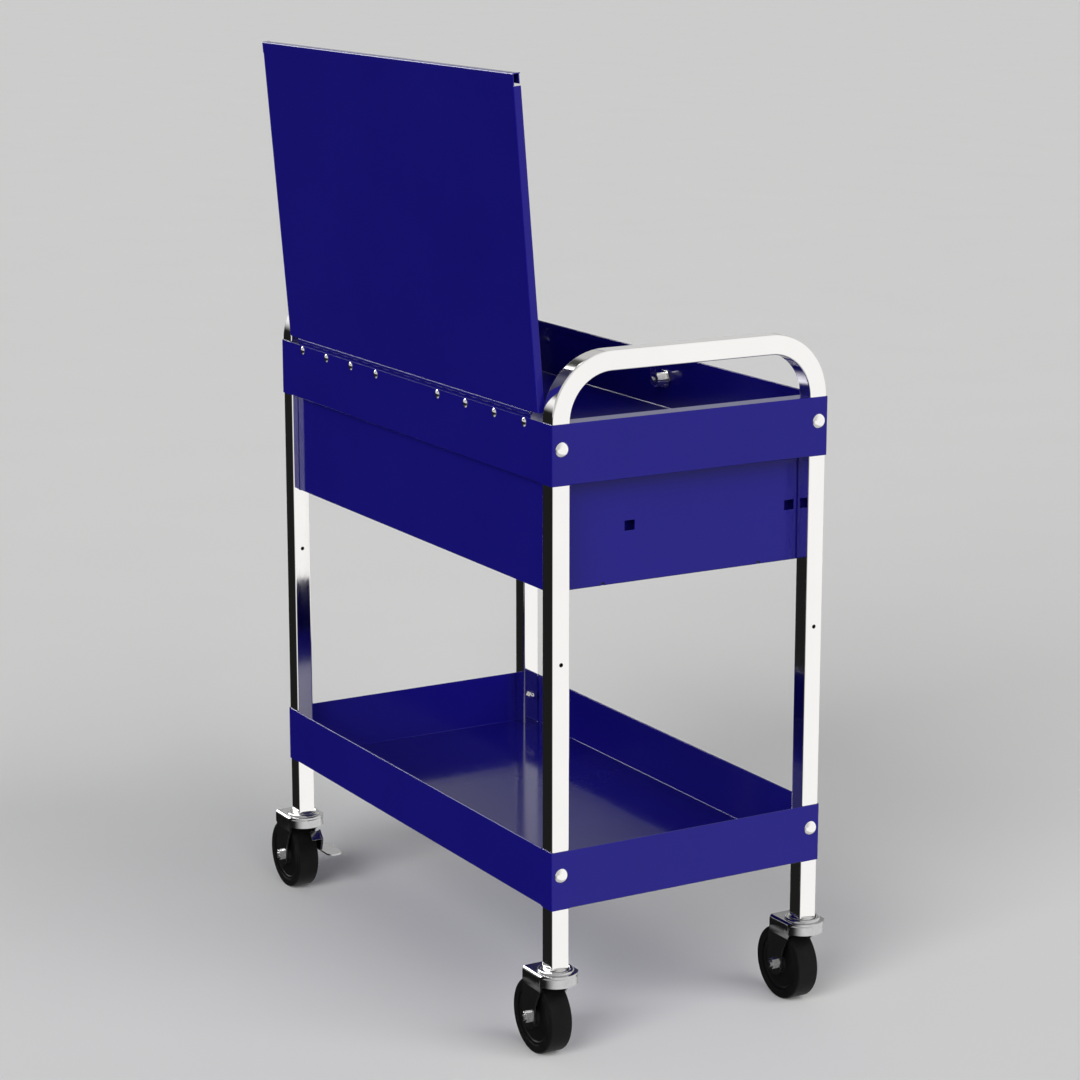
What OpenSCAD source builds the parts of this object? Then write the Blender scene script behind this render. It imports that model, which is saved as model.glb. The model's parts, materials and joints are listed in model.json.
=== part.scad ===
/* [Trays] */
// Length of both trays, end to end
tray_l = 762; // [600:1:900]
// Width of both trays, front to back
tray_w = 406.4; // [340:0.1:520]
// Height of the tray walls
tray_d = 76.2; // [60:0.1:90]
// Thickness of the tray and housing sheet
sheet = 1.2; // [0.8:0.1:2]
// Height of the lower tray's top edge above the floor
lower_rim = 279.5; // [240:0.5:320]
// Height of the upper tray's top edge above the floor
upper_rim = 822.3; // [760:0.1:900]
// Width of the inward flange along each end of the upper tray
end_flange = 25.4; // [15:0.1:35]
// Depth of the tray bolts below a tray's top edge
bolt_drop = 31; // [24:0.5:36]

/* [End frames] */
// Width of the square tube
tube = 25.4; // [22:0.1:30]
// Wall thickness of the tube
tube_wall = 1.5; // [1:0.1:2.5]
// Corner radius of the tube
tube_corner = 2.5; // [1.6:0.1:4]
// Height of the handle's top above the upper tray's top edge
handle_rise = 84.7; // [80:0.1:150]
// Radius of the handle bends, on the tube's centre line
bend_r = 72; // [40:1:72]
// Height of the small cross hole in each leg
leg_hole_z = 521; // [480:1:560]
// Diameter of the small cross hole in each leg
leg_hole_d = 5.5; // [3:0.5:8]

/* [Lid] */
// Gap between each side of the lid and the legs
lid_gap = 5.1; // [2:0.1:12]
// Distance that the closed lid's front stands past the upper tray
lid_over = 10.6; // [5:0.1:14]
// Length of the notch at the lid's front corners
lid_notch = 15; // [10:0.5:25]
// Angle past upright at which the open lid rests
lid_lean = 4.75; // [0:0.25:12]

/* [Hinge] */
// Height of the hinge pin above the upper tray's top edge
pin_rise = 7; // [5:0.1:9]
// Diameter of the hinge pin
pin_d = 3; // [2:0.5:4]
// Outer radius of the hinge knuckles
knuckle_r = 3; // [2.6:0.1:3.6]
// Number of hinge knuckles
knuckles = 43; // [21:2:61]
// Distance from each end of the hinge to the leg beside it
hinge_gap = 28.9; // [8:0.1:60]

/* [Drawer] */
// Height of the housing below the upper tray
housing_h = 139; // [125:1:170]
// Distance from the back of the tray to the back of the housing
housing_inset = 11.2; // [6:0.1:25]
// Free height above the drawer box
headroom = 42; // [40:1:52]
// Distance between the two posts of the drawer pull
pull_span = 128; // [96:1:192]
// Diameter of the pull's bar
pull_d = 9; // [7:0.5:12]
// Distance that the pull stands out from the drawer front
pull_reach = 28; // [22:1:35]

/* [Casters] */
// Height of a caster, from the floor to the leg's foot
caster_h = 124; // [120:1:136]
// Diameter of the wheels over the tyre
wheel_d = 99; // [94:1:102]
// Width of the tyre
wheel_w = 31; // [26:0.5:33]
// Distance that the axle trails behind the swivel axis
trail = 32.5; // [28:0.5:36]
// Radius of the round front of the fork
fork_r = 29; // [28:0.5:31]
// Diameter of the caster stem
stem_d = 11; // [9.5:0.1:12]
// Diameter of the axle bolt
axle_d = 8; // [6:0.5:9]
// Length of the brake pedal
pedal_l = 57; // [40:1:64]

/* [Hidden] */
$fn = 64;

// Small amounts shared by many pieces
over = 1;        // cutters run this far past the face they cut
run_gap = 0.05;  // radial clearance of a shaft that turns in a hole
part_gap = 0.35; // clearance between pieces that move past each other
fit_gap = 0.1;   // clearance round a plug that is pressed into the tube

// Trays and legs
wall_x = tray_l / 2;
wall_y = tray_w / 2;
leg_x = wall_x - sheet - tube / 2;
leg_y = wall_y - sheet - tube / 2;
leg_notch = 0.3;
hem_h = 9;
tray_corner = 2;
upper_floor = upper_rim - tray_d;
lower_floor = lower_rim - tray_d;
leg_foot = caster_h;
bar_z = upper_rim + handle_rise - tube / 2;
tube_in = tube - 2 * tube_wall;
tube_in_corner = max(0.4, tube_corner - tube_wall);

// Tray bolts and cap nuts
bolt_d = 6;
bolt_gap = 0.3;
bolt_head_r = 9.3;
bolt_head_h = 4.2;
nut_across = 11;
nut_h = 5.5;
nut_dome_r = 4.7;
bolt_end = 3.5;

// Hinge and lid
axis_in = 2;
axis_y = wall_y - axis_in;
axis_z = upper_rim + pin_rise;
leaf = 1;
tray_leaf_w = 23;
lid_leaf_w = 22;
leaf_edge = knuckle_r + 0.4;
knuckle_gap = part_gap;
hinge_l = 2 * (leg_x - tube / 2 - hinge_gap);
knuckle_l = hinge_l / knuckles;
tab_l = knuckle_l - 3 * knuckle_gap;
lid_w = 2 * (leg_x - tube / 2 - lid_gap);
lid_face = 3.56;
lid_under = lid_face - sheet;
lid_edge = 3.63;
lid_end = axis_y + wall_y + lid_over;
lid_h = lid_end - lid_edge;
lip_low = part_gap - pin_rise;
lip_past = 2.2;
lip_w = lid_over + sheet + lip_past;
rivet_r = 2;
rivet_head_r = 5.6;
rivet_head_h = 2.5;
rivet_drop = 6.7;
rivets_per_side = 4;
rivet_end = 13;
rivet_middle = 7 / 6;
rivet_pitch = (hinge_l / 2 - rivet_end) / (rivets_per_side - 1 + rivet_middle);
rivet_first = rivet_middle * rivet_pitch;

// Locks
lock_drop = 34.8;
lock_head_r = 11;
lock_head_h = 2.5;
lock_body_r = 9.2;
lock_hole_r = lock_body_r + 0.1;
lock_inside = 20;
plug_r = 5.45;
plug_cap_r = 7.6;
plug_cap_h = 1.5;
plug_square = 6;
key_w = 1.6;
key_h = 7;
key_deep = 4;
cam_t = 2.2;
cam_w = 14;
cam_reach = 28;
cam_start = part_gap;
cam_screw_r = 4.5;
cam_screw_h = 2.2;
lock_nut_across = 24;
lock_nut_h = 3.5;
lid_lock_z = upper_rim - lock_drop;
cam_y = -wall_y + sheet + lock_inside;
catch_x = 10;
catch_w = 20;
catch_y = cam_y + cam_start + cam_t + cam_screw_h + 0.75;
catch_foot = 9;
catch_weld = 20;
catch_top = axis_z + lid_under;
catch_low = lid_lock_z - cam_w / 2 - part_gap - sheet;

// Drawer housing
house_x = leg_x - tube / 2;
house_y = wall_y - housing_inset;
house_back_in = 15.2;
house_front = -wall_y + house_back_in;
house_low = upper_floor - housing_h;
house_flange = 18;
slot_w = 15;
slot_h = 13;
slot_rise = 73;
slot_in_back = 116.2;
slot_in_front = 23.7;
slot_z = house_low + slot_rise;
slot_back = house_y - slot_in_back;
slot_front = house_front + slot_in_front;
nick_w = 5;
nick_h = 4.5;
nick_in_back = 77.7;
nick_in_front = 70.2;
nick_back = house_y - nick_in_back;
nick_front = house_front + nick_in_front;
screw_r = 2;
screw_head_r = 5;
screw_head_h = 3.2;
screw_end = 4;
pull_screw_l = 9;
side_screw_l = 8;
foot_screw_in = 54.4;
foot_screw_x = house_x - foot_screw_in;
foot_screw_y = house_y - 2 * house_flange / 3;
floor_screw_in = 59.3;
floor_screw_y = leg_y - floor_screw_in;
rear_screw_in = 154.4;
rear_screw_x = house_x - rear_screw_in;

// Slides
slide_t = 12.7;
slide_rise = 33;
slide_z = house_low + slide_rise;
slide_front = house_front + 1;
slide_back = 27.8;
slide_l = house_y - sheet - slide_back - slide_front;
slide_wall = 1.2;
slide_out_r = 22.85;
slide_mid_r = slide_out_r - slide_wall - part_gap;
slide_in_r = slide_mid_r - slide_wall - part_gap;
slide_mid_t = slide_wall + 2.2;
slide_in_t = slide_mid_t + slide_wall + 2;
slide_out_lip = 10.2;
slide_mid_lip = 11;

// Drawer
box_sheet = 1;
box_x = house_x - sheet - slide_t;
box_back = 14;
box_y = house_y - sheet - box_back;
box_rise = 7;
box_low = house_low + box_rise;
drawer_h = upper_floor - headroom - box_low;
box_screw_x = box_x - box_sheet - screw_head_r - 0.5;
box_screw_low = 26;
box_screw_high = 66;
front_gap = 3.2;
front_x = house_x - front_gap;
front_space = 2.6;
front_low = house_low + front_space;
front_high = upper_floor - front_space;
front_t = 14;
front_lip = 22;
front_y = -wall_y;
front_back = front_y + front_t;
pull_z = (front_low + front_high) / 2;
pull_y = front_y - pull_reach;
drawer_lock_z = upper_floor - sheet - cam_reach - 2 * part_gap;
rail_gap = 2;
rail_y = cam_y - rail_gap - sheet;
rail_drop = 11;
rail_x = house_x - sheet - house_flange - 0.3;

// Casters
tyre_r = wheel_d / 2;
tyre_t = 11.5;
tyre_in = tyre_r - tyre_t;
tyre_round = 2.5;
cap_rise = 4.5;
fork_top = caster_h - cap_rise;
fork_sheet = 2.5;
fork_bend = 5;
bend_steps = 8;
skirt_h = 15.3;
skirt_z = fork_top - skirt_h;
fork_in = 19;
fork_out = fork_in + fork_sheet;
step_h = 12.2;
narrow_z = skirt_z - step_h;
fork_tail = 34;
shoulder_z = narrow_z - 4;
boss_r = 16;
leg_back = trail + boss_r;
front_cut_r = 58;
front_cut_x = -40;
front_cut_z = 52;
bead_r = 3;
bead_at = 20.6;
cap_r = 16.8;
cap_low = fork_top + part_gap;
ball_r = 1.6;
ball_at = 12;
balls = 16;
ball_z = fork_top + run_gap + ball_r;
stem_low = fork_top - 9;
washer_r = 12;
washer_t = 2;
socket_h = 32;
hub_r = 13;
hub_half = fork_in - part_gap;
web_half = 12;
rim_half = wheel_w / 2 - 2;
rim_t = 4;
hex_across = 13;
hex_h = 5.3;
axle_tail = 3;

// Brakes
brake_x = 22;
brake_z = 74;
lever_t = 2.5;
lever_y = -fork_out - part_gap - lever_t;
pedal_top = 61;
pedal_w = 24;
pedal_end = 20;
pedal_round = 11;
lever_eye_r = 7;
lever_low = pedal_top - lever_t;
shoe_at = 140;
shoe_gap = 2.8;
shoe_t = 2.5;
shoe_w = 14;
shoe_in = -7;
shoe_root = 1;
shoe_r = tyre_r + shoe_gap;
lever_half = lever_t / 2;
lever_shape = [
  [brake_x - 3, brake_z + lever_eye_r - 1.5], [brake_x + lever_eye_r - 1.5, brake_z],
  [pedal_end - pedal_round - 1, lever_low + lever_half], [-10, lever_low + lever_half],
  at_shoe(shoe_t + shoe_root, -1), at_shoe(shoe_t + shoe_root, 1), at_shoe(-shoe_root, 1)
];
brake_pin_r = 3;
brake_head_r = 5;
brake_head_h = 2;

// Whole object's limits, used to centre it over the origin
low_x = min(-wall_x - bolt_head_h, -leg_x - fork_r);
high_x = leg_x + trail + tyre_r;
low_y = pull_y - pull_d / 2;
high_y = axis_y + lid_end * sin(lid_lean) + lid_face * cos(lid_lean);
mid_x = (low_x + high_x) / 2;
mid_y = (low_y + high_y) / 2;

blue = [0.07, 0.06, 0.45];
chrome = [0.86, 0.86, 0.87];
zinc = [0.72, 0.73, 0.75];
black = [0.07, 0.07, 0.08];
dark = [0.13, 0.13, 0.14];

// Puts the middle of the whole object over the origin
module placed() translate([-mid_x, -mid_y, 0]) children();

// Copies a piece to both sides of a plane through the middle
module both_x() for (s = [0, 1]) mirror([s, 0, 0]) children();
module both_y() for (s = [0, 1]) mirror([0, s, 0]) children();

// Square outline with round corners, a side long
module round_square(a, r) {
  square([a, a - 2 * r], center = true);
  square([a - 2 * r, a], center = true);
  for (x = [-1, 1], y = [-1, 1])
    translate([x * (a / 2 - r), y * (a / 2 - r)]) circle(r);
}

// Rectangle with round corners
module round_plate(a, b, r) {
  square([a, b - 2 * r], center = true);
  square([a - 2 * r, b], center = true);
  for (x = [-1, 1], y = [-1, 1])
    translate([x * (a / 2 - r), y * (b / 2 - r)]) circle(r);
}

// Cylinder along X or along Y, centred
module rod_x(r, l) rotate([0, 90, 0]) cylinder(r = r, h = l, center = true);
module rod_y(r, l) rotate([90, 0, 0]) cylinder(r = r, h = l, center = true);

// Round head of radius r and height h, standing on z = 0
module dome(r, h) {
  ball = (r * r + h * h) / (2 * h);
  intersection() {
    translate([0, 0, h - ball]) sphere(ball);
    cylinder(r = r + over, h = h + over);
  }
}

// Path of one end frame, two legs and a handle bar, with a square section
module frame_path(a, r, foot) {
  both_y() {
    translate([0, leg_y, foot]) linear_extrude(bar_z - bend_r - foot) round_square(a, r);
    translate([0, leg_y - bend_r, bar_z - bend_r]) rotate([0, 90, 0]) rotate([0, 0, 90])
      rotate_extrude(angle = 90) translate([bend_r, 0]) round_square(a, r);
  }
  translate([0, leg_y - bend_r, bar_z]) rotate([90, 0, 0])
    linear_extrude(2 * (leg_y - bend_r)) round_square(a, r);
}

module end_frame() {
  difference() {
    frame_path(tube, tube_corner, leg_foot);
    frame_path(tube_in, tube_in_corner, leg_foot - over);
    both_y() {
      translate([0, leg_y, upper_rim - bolt_drop]) rod_x(bolt_d / 2 + bolt_gap, tube + 2 * over);
      translate([0, leg_y, lower_rim - bolt_drop]) rod_x(bolt_d / 2 + bolt_gap, tube + 2 * over);
      translate([0, leg_y, leg_hole_z]) rod_x(leg_hole_d / 2, tube + 2 * over);
    }
    translate([0, leg_y - tube / 2, house_low]) rod_y(screw_r, 4 * tube_wall);
  }
}

module end_frame_near() color(chrome) placed() translate([-leg_x, 0, 0]) end_frame();
module end_frame_far() color(chrome) placed() translate([leg_x, 0, 0]) end_frame();

// Open tray with a square gap for a leg in each corner of its floor
module tray(low) {
  difference() {
    translate([0, 0, low]) linear_extrude(tray_d) round_plate(tray_l, tray_w, tray_corner);
    translate([0, 0, low + sheet]) linear_extrude(tray_d)
      round_plate(tray_l - 2 * sheet, tray_w - 2 * sheet, tray_corner - sheet + 0.1);
    both_x() both_y()
      translate([leg_x - tube / 2 - leg_notch, leg_y - tube / 2 - leg_notch, low - over])
        cube([tube + leg_notch, tube + leg_notch, 2 * over + sheet]);
    both_x() both_y() translate([wall_x, leg_y, low + tray_d - bolt_drop])
      rod_x(bolt_d / 2 + bolt_gap, 4 * sheet);
  }
}

// Folded edge inside the top of a tray's front wall, between the legs
module hem(low) translate([-leg_x + tube / 2 + leg_notch, -wall_y, low + tray_d - hem_h])
  cube([2 * (leg_x - tube / 2 - leg_notch), 2 * sheet, hem_h]);

module upper_tray() color(blue) placed() difference() {
  union() {
    tray(upper_floor);
    hem(upper_floor);
    both_x() translate([wall_x - end_flange, -leg_y + tube / 2 + leg_notch, upper_rim - sheet])
      cube([end_flange - sheet / 2, 2 * (leg_y - tube / 2 - leg_notch), sheet]);
  }
  translate([0, -wall_y, lid_lock_z]) rod_y(lock_hole_r, 4 * sheet);
  rivet_places() rod_y(rivet_r, 6 * sheet);
  housing_screw_places() cylinder(r = screw_r, h = 6 * sheet, center = true);
}

module lower_tray() color(blue) placed() {
  tray(lower_floor);
  both_y() hem(lower_floor);
}

// Places the children at each tray bolt of one end frame and its mirror image
module tray_bolt_places() for (z = [upper_rim, lower_rim])
  both_x() both_y() translate([wall_x, leg_y, z - bolt_drop]) rotate([0, 90, 0]) children();

module tray_bolts() color(chrome) placed() tray_bolt_places() {
  dome(bolt_head_r, bolt_head_h);
  translate([0, 0, -sheet - tube - nut_h - bolt_end])
    cylinder(r = bolt_d / 2, h = sheet + tube + nut_h + bolt_end + over / 2);
}

module cap_nuts() color(chrome) placed() tray_bolt_places()
  translate([0, 0, -sheet - tube]) rotate([180, 0, 0]) difference() {
    union() {
      cylinder(r = nut_across / sqrt(3), h = nut_h, $fn = 6);
      translate([0, 0, nut_h]) intersection() {
        sphere(nut_dome_r);
        translate([0, 0, -over]) cylinder(r = nut_dome_r + over, h = nut_dome_r + 2 * over);
      }
    }
    translate([0, 0, -over])
      cylinder(r = bolt_d / 2 + run_gap, h = nut_h + bolt_end + over + run_gap);
  }

// Places for the screws through the upper tray's floor into the housing
module housing_screw_places() {
  for (x = [-1, 1], y = [-1, 0, 1])
    translate([x * (house_x - sheet - house_flange / 2), y * floor_screw_y, upper_floor])
      children();
  for (x = [-1, 1])
    translate([x * rear_screw_x, house_y - sheet - house_flange / 2, upper_floor]) children();
}

// Side panel and its flanges on one side of the housing
module housing_side() difference() {
  union() {
    translate([house_x - sheet, house_front, house_low])
      cube([sheet, house_y - house_front, housing_h]);
    for (z = [house_low, upper_floor - sheet])
      translate([house_x - sheet - house_flange, house_front, z])
        cube([house_flange + sheet, house_y - house_front, sheet]);
  }
  for (y = [slot_back, slot_front])
    translate([house_x - 2 * sheet, y - slot_w / 2, slot_z - slot_h / 2])
      cube([3 * sheet, slot_w, slot_h]);
  for (y = [nick_back, nick_front])
    translate([house_x - 2 * sheet, y - nick_w / 2, house_low - over])
      cube([3 * sheet, nick_w, nick_h + over]);
}

module drawer_housing() color(blue) placed() difference() {
  union() {
    both_x() housing_side();
    translate([-house_x, house_y - sheet, house_low]) cube([2 * house_x, sheet, housing_h]);
    for (z = [house_low, upper_floor - sheet])
      translate([-house_x, house_y - sheet - house_flange, z])
        cube([2 * house_x, house_flange + sheet, sheet]);
  }
  housing_screw_places() cylinder(r = screw_r, h = 6 * sheet, center = true);
  both_x() translate([foot_screw_x, foot_screw_y, house_low])
    cylinder(r = screw_r, h = 6 * sheet, center = true);
}

// Round head screw with its head up and the seat at z = 0
module pan_screw(grip) {
  dome(screw_head_r, screw_head_h);
  translate([0, 0, -grip]) cylinder(r = screw_r, h = grip + over / 2);
}

module housing_screws() color(zinc) placed() {
  housing_screw_places() translate([0, 0, sheet]) pan_screw(2 * sheet + screw_end);
  both_x() translate([foot_screw_x, foot_screw_y, house_low]) rotate([180, 0, 0])
    pan_screw(sheet + screw_end);
  both_x() translate([leg_x, leg_y - tube / 2, house_low]) rotate([90, 0, 0])
    pan_screw(side_screw_l);
}

// Angle under the front of the upper tray that the drawer's lock cam catches
module lock_rail() color(blue) placed() translate([-rail_x, 0, 0]) {
  translate([0, rail_y, upper_floor - sheet]) cube([2 * rail_x, house_flange, sheet]);
  translate([0, rail_y, upper_floor - rail_drop]) cube([2 * rail_x, sheet, rail_drop]);
}

// Places the children at each hinge rivet in the back wall
module rivet_places() both_x() for (i = [0 : rivets_per_side - 1])
  translate([rivet_first + i * rivet_pitch, wall_y, upper_rim - rivet_drop]) children();

// Knuckles of one leaf, every second one from the first number on
module knuckle_row(first) for (i = [first : 2 : knuckles - 1])
  translate([-hinge_l / 2 + (i + 0.5) * knuckle_l, 0, 0]) children();

module tray_hinge_leaf() color(blue) placed() translate([0, axis_y, axis_z]) difference() {
  union() {
    translate([-hinge_l / 2, axis_in - sheet - leaf, -tray_leaf_w])
      cube([hinge_l, leaf, tray_leaf_w - leaf_edge]);
    knuckle_row(0) {
      rod_x(knuckle_r, knuckle_l - knuckle_gap);
      translate([-tab_l / 2, axis_in - sheet - leaf, -leaf_edge - over])
        cube([tab_l, leaf, leaf_edge + over]);
    }
  }
  rod_x(pin_d / 2 + run_gap, hinge_l + 2 * over);
  translate([0, -axis_y, -axis_z]) rivet_places() rod_y(rivet_r, 6 * sheet);
}

module hinge_pin() color(zinc) placed() translate([0, axis_y, axis_z]) rod_x(pin_d / 2, hinge_l);

module hinge_rivets() color(chrome) placed() rivet_places() {
  rotate([-90, 0, 0]) dome(rivet_head_r, rivet_head_h);
  translate([0, -sheet - leaf, 0]) rotate([90, 0, 0]) dome(rivet_head_r - 1, rivet_head_h / 2);
  translate([0, -(sheet + leaf) / 2, 0]) rod_y(rivet_r, sheet + leaf + over);
}

// Turns a piece from the closed lid's place to the open one; y runs to the front, z up
module on_lid() translate([0, axis_y, axis_z]) rotate([-90 - lid_lean, 0, 0]) children();

module lid_panel() color(blue) placed() on_lid() {
  translate([-lid_w / 2, -lid_end, lid_under]) cube([lid_w, lid_h, sheet]);
  translate([-lid_w / 2, -lid_end, lip_low]) cube([lid_w, sheet, lid_face - lip_low]);
  translate([-lid_w / 2 + sheet, -lid_end, lip_low]) cube([lid_w - 2 * sheet, lip_w, sheet]);
  both_x() translate([lid_w / 2 - sheet, -lid_end + lid_notch, lip_low])
    cube([sheet, lid_h - lid_notch, lid_face - lip_low]);
}

module lid_hinge_leaf() color(blue) placed() on_lid() difference() {
  union() {
    translate([-hinge_l / 2, -lid_leaf_w, lid_under - leaf])
      cube([hinge_l, lid_leaf_w - leaf_edge, leaf]);
    knuckle_row(1) {
      rod_x(knuckle_r, knuckle_l - knuckle_gap);
      translate([-tab_l / 2, -leaf_edge - over, lid_under - leaf])
        cube([tab_l, leaf_edge + over, leaf]);
    }
  }
  rod_x(pin_d / 2 + run_gap, hinge_l + 2 * over);
}

// Hook inside the lid; its foot goes under the lock's cam
module lid_catch() color(zinc) placed() on_lid() translate([catch_x, -axis_y, -axis_z]) {
  translate([0, catch_y, catch_top - sheet]) cube([catch_w, catch_weld, sheet]);
  translate([0, catch_y, catch_low]) cube([catch_w, sheet, catch_top - catch_low]);
  translate([0, catch_y - catch_foot, catch_low]) cube([catch_w, catch_foot + sheet, sheet]);
}

// Lock pieces, with the axis at the origin and the front face of the panel at y = 0
module lock_barrel() difference() {
  union() {
    translate([0, -lock_head_h / 2, 0]) rod_y(lock_head_r, lock_head_h);
    translate([0, (sheet + lock_inside) / 2, 0]) rod_y(lock_body_r, sheet + lock_inside);
  }
  rod_y(plug_r + run_gap, 4 * lock_inside);
  translate([0, -lock_head_h, 0]) rod_y(plug_cap_r + run_gap, 2 * (plug_cap_h + run_gap));
}

module lock_nut() translate([0, sheet, 0]) rotate([-90, 0, 0]) difference() {
  cylinder(r = lock_nut_across / sqrt(3), h = lock_nut_h, $fn = 6);
  translate([0, 0, -over]) cylinder(r = lock_body_r + run_gap, h = lock_nut_h + 2 * over);
}

module lock_plug() difference() {
  union() {
    translate([0, -lock_head_h + plug_cap_h / 2, 0]) rod_y(plug_cap_r, plug_cap_h);
    translate([0, (sheet + lock_inside - lock_head_h) / 2, 0])
      rod_y(plug_r, sheet + lock_inside + lock_head_h);
    translate([-plug_square / 2, 0, -plug_square / 2])
      cube([plug_square, sheet + lock_inside + cam_start + cam_t, plug_square]);
    translate([0, sheet + lock_inside + cam_start + cam_t + cam_screw_h / 2, 0])
      rod_y(cam_screw_r, cam_screw_h);
  }
  translate([-key_w / 2, -lock_head_h - over, -key_h / 2]) cube([key_w, key_deep + over, key_h]);
}

// Cam that points up at rest and turns towards +X
module lock_cam() translate([0, sheet + lock_inside + cam_start, 0]) difference() {
  union() {
    translate([0, cam_t / 2, 0]) rod_y(cam_w / 2, cam_t);
    translate([-cam_w / 2, 0, 0]) cube([cam_w, cam_t, cam_reach - cam_w / 2]);
    translate([0, cam_t / 2, cam_reach - cam_w / 2]) rod_y(cam_w / 2, cam_t);
  }
  translate([-plug_square / 2, -over, -plug_square / 2])
    cube([plug_square, cam_t + 2 * over, plug_square]);
}

module at_lid_lock() placed() translate([0, -wall_y, lid_lock_z]) children();
module at_drawer_lock() placed() translate([0, front_y, drawer_lock_z]) children();

module lid_lock_barrel() color(chrome) at_lid_lock() lock_barrel();
module lid_lock_nut() color(zinc) at_lid_lock() lock_nut();
module lid_lock_plug() color(zinc) at_lid_lock() lock_plug();
module lid_lock_cam() color(zinc) at_lid_lock() lock_cam();
module drawer_lock_barrel() color(chrome) at_drawer_lock() lock_barrel();
module drawer_lock_nut() color(zinc) at_drawer_lock() lock_nut();
module drawer_lock_plug() color(zinc) at_drawer_lock() lock_plug();
// The drawer's cam lies flat at rest and turns up behind the rail
module drawer_lock_cam() color(zinc) at_drawer_lock() rotate([0, -90, 0]) lock_cam();

// Channel of a drawer slide: half height r, web at depth t, flanges from a to b
module slide_channel(r, t, a, b) translate([0, slide_front, slide_z]) {
  translate([t, 0, -r]) cube([slide_wall, slide_l, 2 * r]);
  for (z = [-r, r - slide_wall]) translate([a, 0, z]) cube([b - a, slide_l, slide_wall]);
}

// Puts a slide piece on the far side's housing panel, with depth running inwards
module at_slide() placed() translate([house_x - sheet, 0, 0]) mirror([1, 0, 0]) children();
module at_near_slide() placed() translate([-house_x + sheet, 0, 0]) children();

module slide_outer() slide_channel(slide_out_r, 0, 0, slide_out_lip);
module slide_middle() slide_channel(slide_mid_r, slide_mid_t, slide_mid_t, slide_mid_lip);
module slide_inner() slide_channel(slide_in_r, slide_t - slide_wall, slide_in_t, slide_t);

module slide_outer_near() color(zinc) at_near_slide() slide_outer();
module slide_outer_far() color(zinc) at_slide() slide_outer();
module slide_middle_near() color(zinc) at_near_slide() slide_middle();
module slide_middle_far() color(zinc) at_slide() slide_middle();
module slide_inner_near() color(zinc) at_near_slide() slide_inner();
module slide_inner_far() color(zinc) at_slide() slide_inner();

// Places for the screws that join the box and the front
module box_screw_places() both_x() for (z = [box_screw_low, box_screw_high])
  translate([box_screw_x, front_back, box_low + z]) children();

module pull_post_places() both_x() translate([pull_span / 2, front_y, pull_z]) children();

module drawer_box() color(blue) placed() difference() {
  translate([-box_x, front_back, box_low]) cube([2 * box_x, box_y - front_back, drawer_h]);
  translate([-box_x + box_sheet, front_back + box_sheet, box_low + box_sheet])
    cube([2 * (box_x - box_sheet), box_y - front_back - 2 * box_sheet, drawer_h]);
  box_screw_places() rod_y(screw_r, 6 * sheet);
}

module drawer_front() color(blue) placed() difference() {
  translate([-front_x, front_y, front_low])
    cube([2 * front_x, front_t, front_high - front_low]);
  translate([-front_x + sheet, front_y + sheet, front_low + sheet])
    cube([2 * (front_x - sheet), front_t - 2 * sheet, front_high - front_low - 2 * sheet]);
  translate([-front_x + front_lip, front_y + sheet, front_low + front_lip])
    cube([2 * (front_x - front_lip), front_t, front_high - front_low - 2 * front_lip]);
  translate([0, front_y, drawer_lock_z]) rod_y(lock_hole_r, 4 * sheet);
  translate([-lock_nut_across, front_back - 2 * sheet, drawer_lock_z - lock_nut_across])
    cube([2 * lock_nut_across, 3 * sheet, 2 * lock_nut_across]);
  pull_post_places() rod_y(screw_r, 4 * sheet);
  box_screw_places() rod_y(screw_r, 6 * sheet);
}

module drawer_pull() color(chrome) placed() difference() {
  union() {
    translate([0, pull_y, pull_z]) rod_x(pull_d / 2, pull_span);
    pull_post_places() {
      translate([0, -pull_reach / 2, 0]) rod_y(pull_d / 2, pull_reach);
      translate([0, -pull_reach, 0]) sphere(pull_d / 2);
    }
  }
  pull_post_places() rod_y(screw_r, pull_reach);
}

module drawer_screws() color(zinc) placed() {
  box_screw_places() translate([0, box_sheet, 0]) rotate([-90, 0, 0])
    pan_screw(box_sheet + sheet + screw_end);
  pull_post_places() translate([0, sheet, 0]) rotate([-90, 0, 0]) pan_screw(pull_screw_l);
}

// Casters stand at the four legs: 1 near back, 2 near front, 3 far back, 4 far front
module at_caster(n)
  placed() translate([n < 3 ? -leg_x : leg_x, n % 2 == 1 ? leg_y : -leg_y, 0]) children();

module stem() difference() {
  union() {
    translate([0, 0, cap_low]) cylinder(r = cap_r, h = leg_foot - cap_low);
    translate([0, 0, stem_low]) cylinder(r = stem_d / 2, h = leg_foot + socket_h - stem_low);
    translate([0, 0, fork_top - fork_sheet - part_gap - washer_t])
      cylinder(r = washer_r, h = washer_t);
  }
  translate([0, 0, ball_z]) rotate_extrude()
    translate([ball_at, 0]) circle(ball_r + run_gap);
  translate([0, 0, fork_top]) difference() {
    cylinder(r = ball_at + ball_r + run_gap, h = run_gap + ball_r);
    cylinder(r = ball_at - ball_r - run_gap, h = run_gap + ball_r);
  }
}

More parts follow.
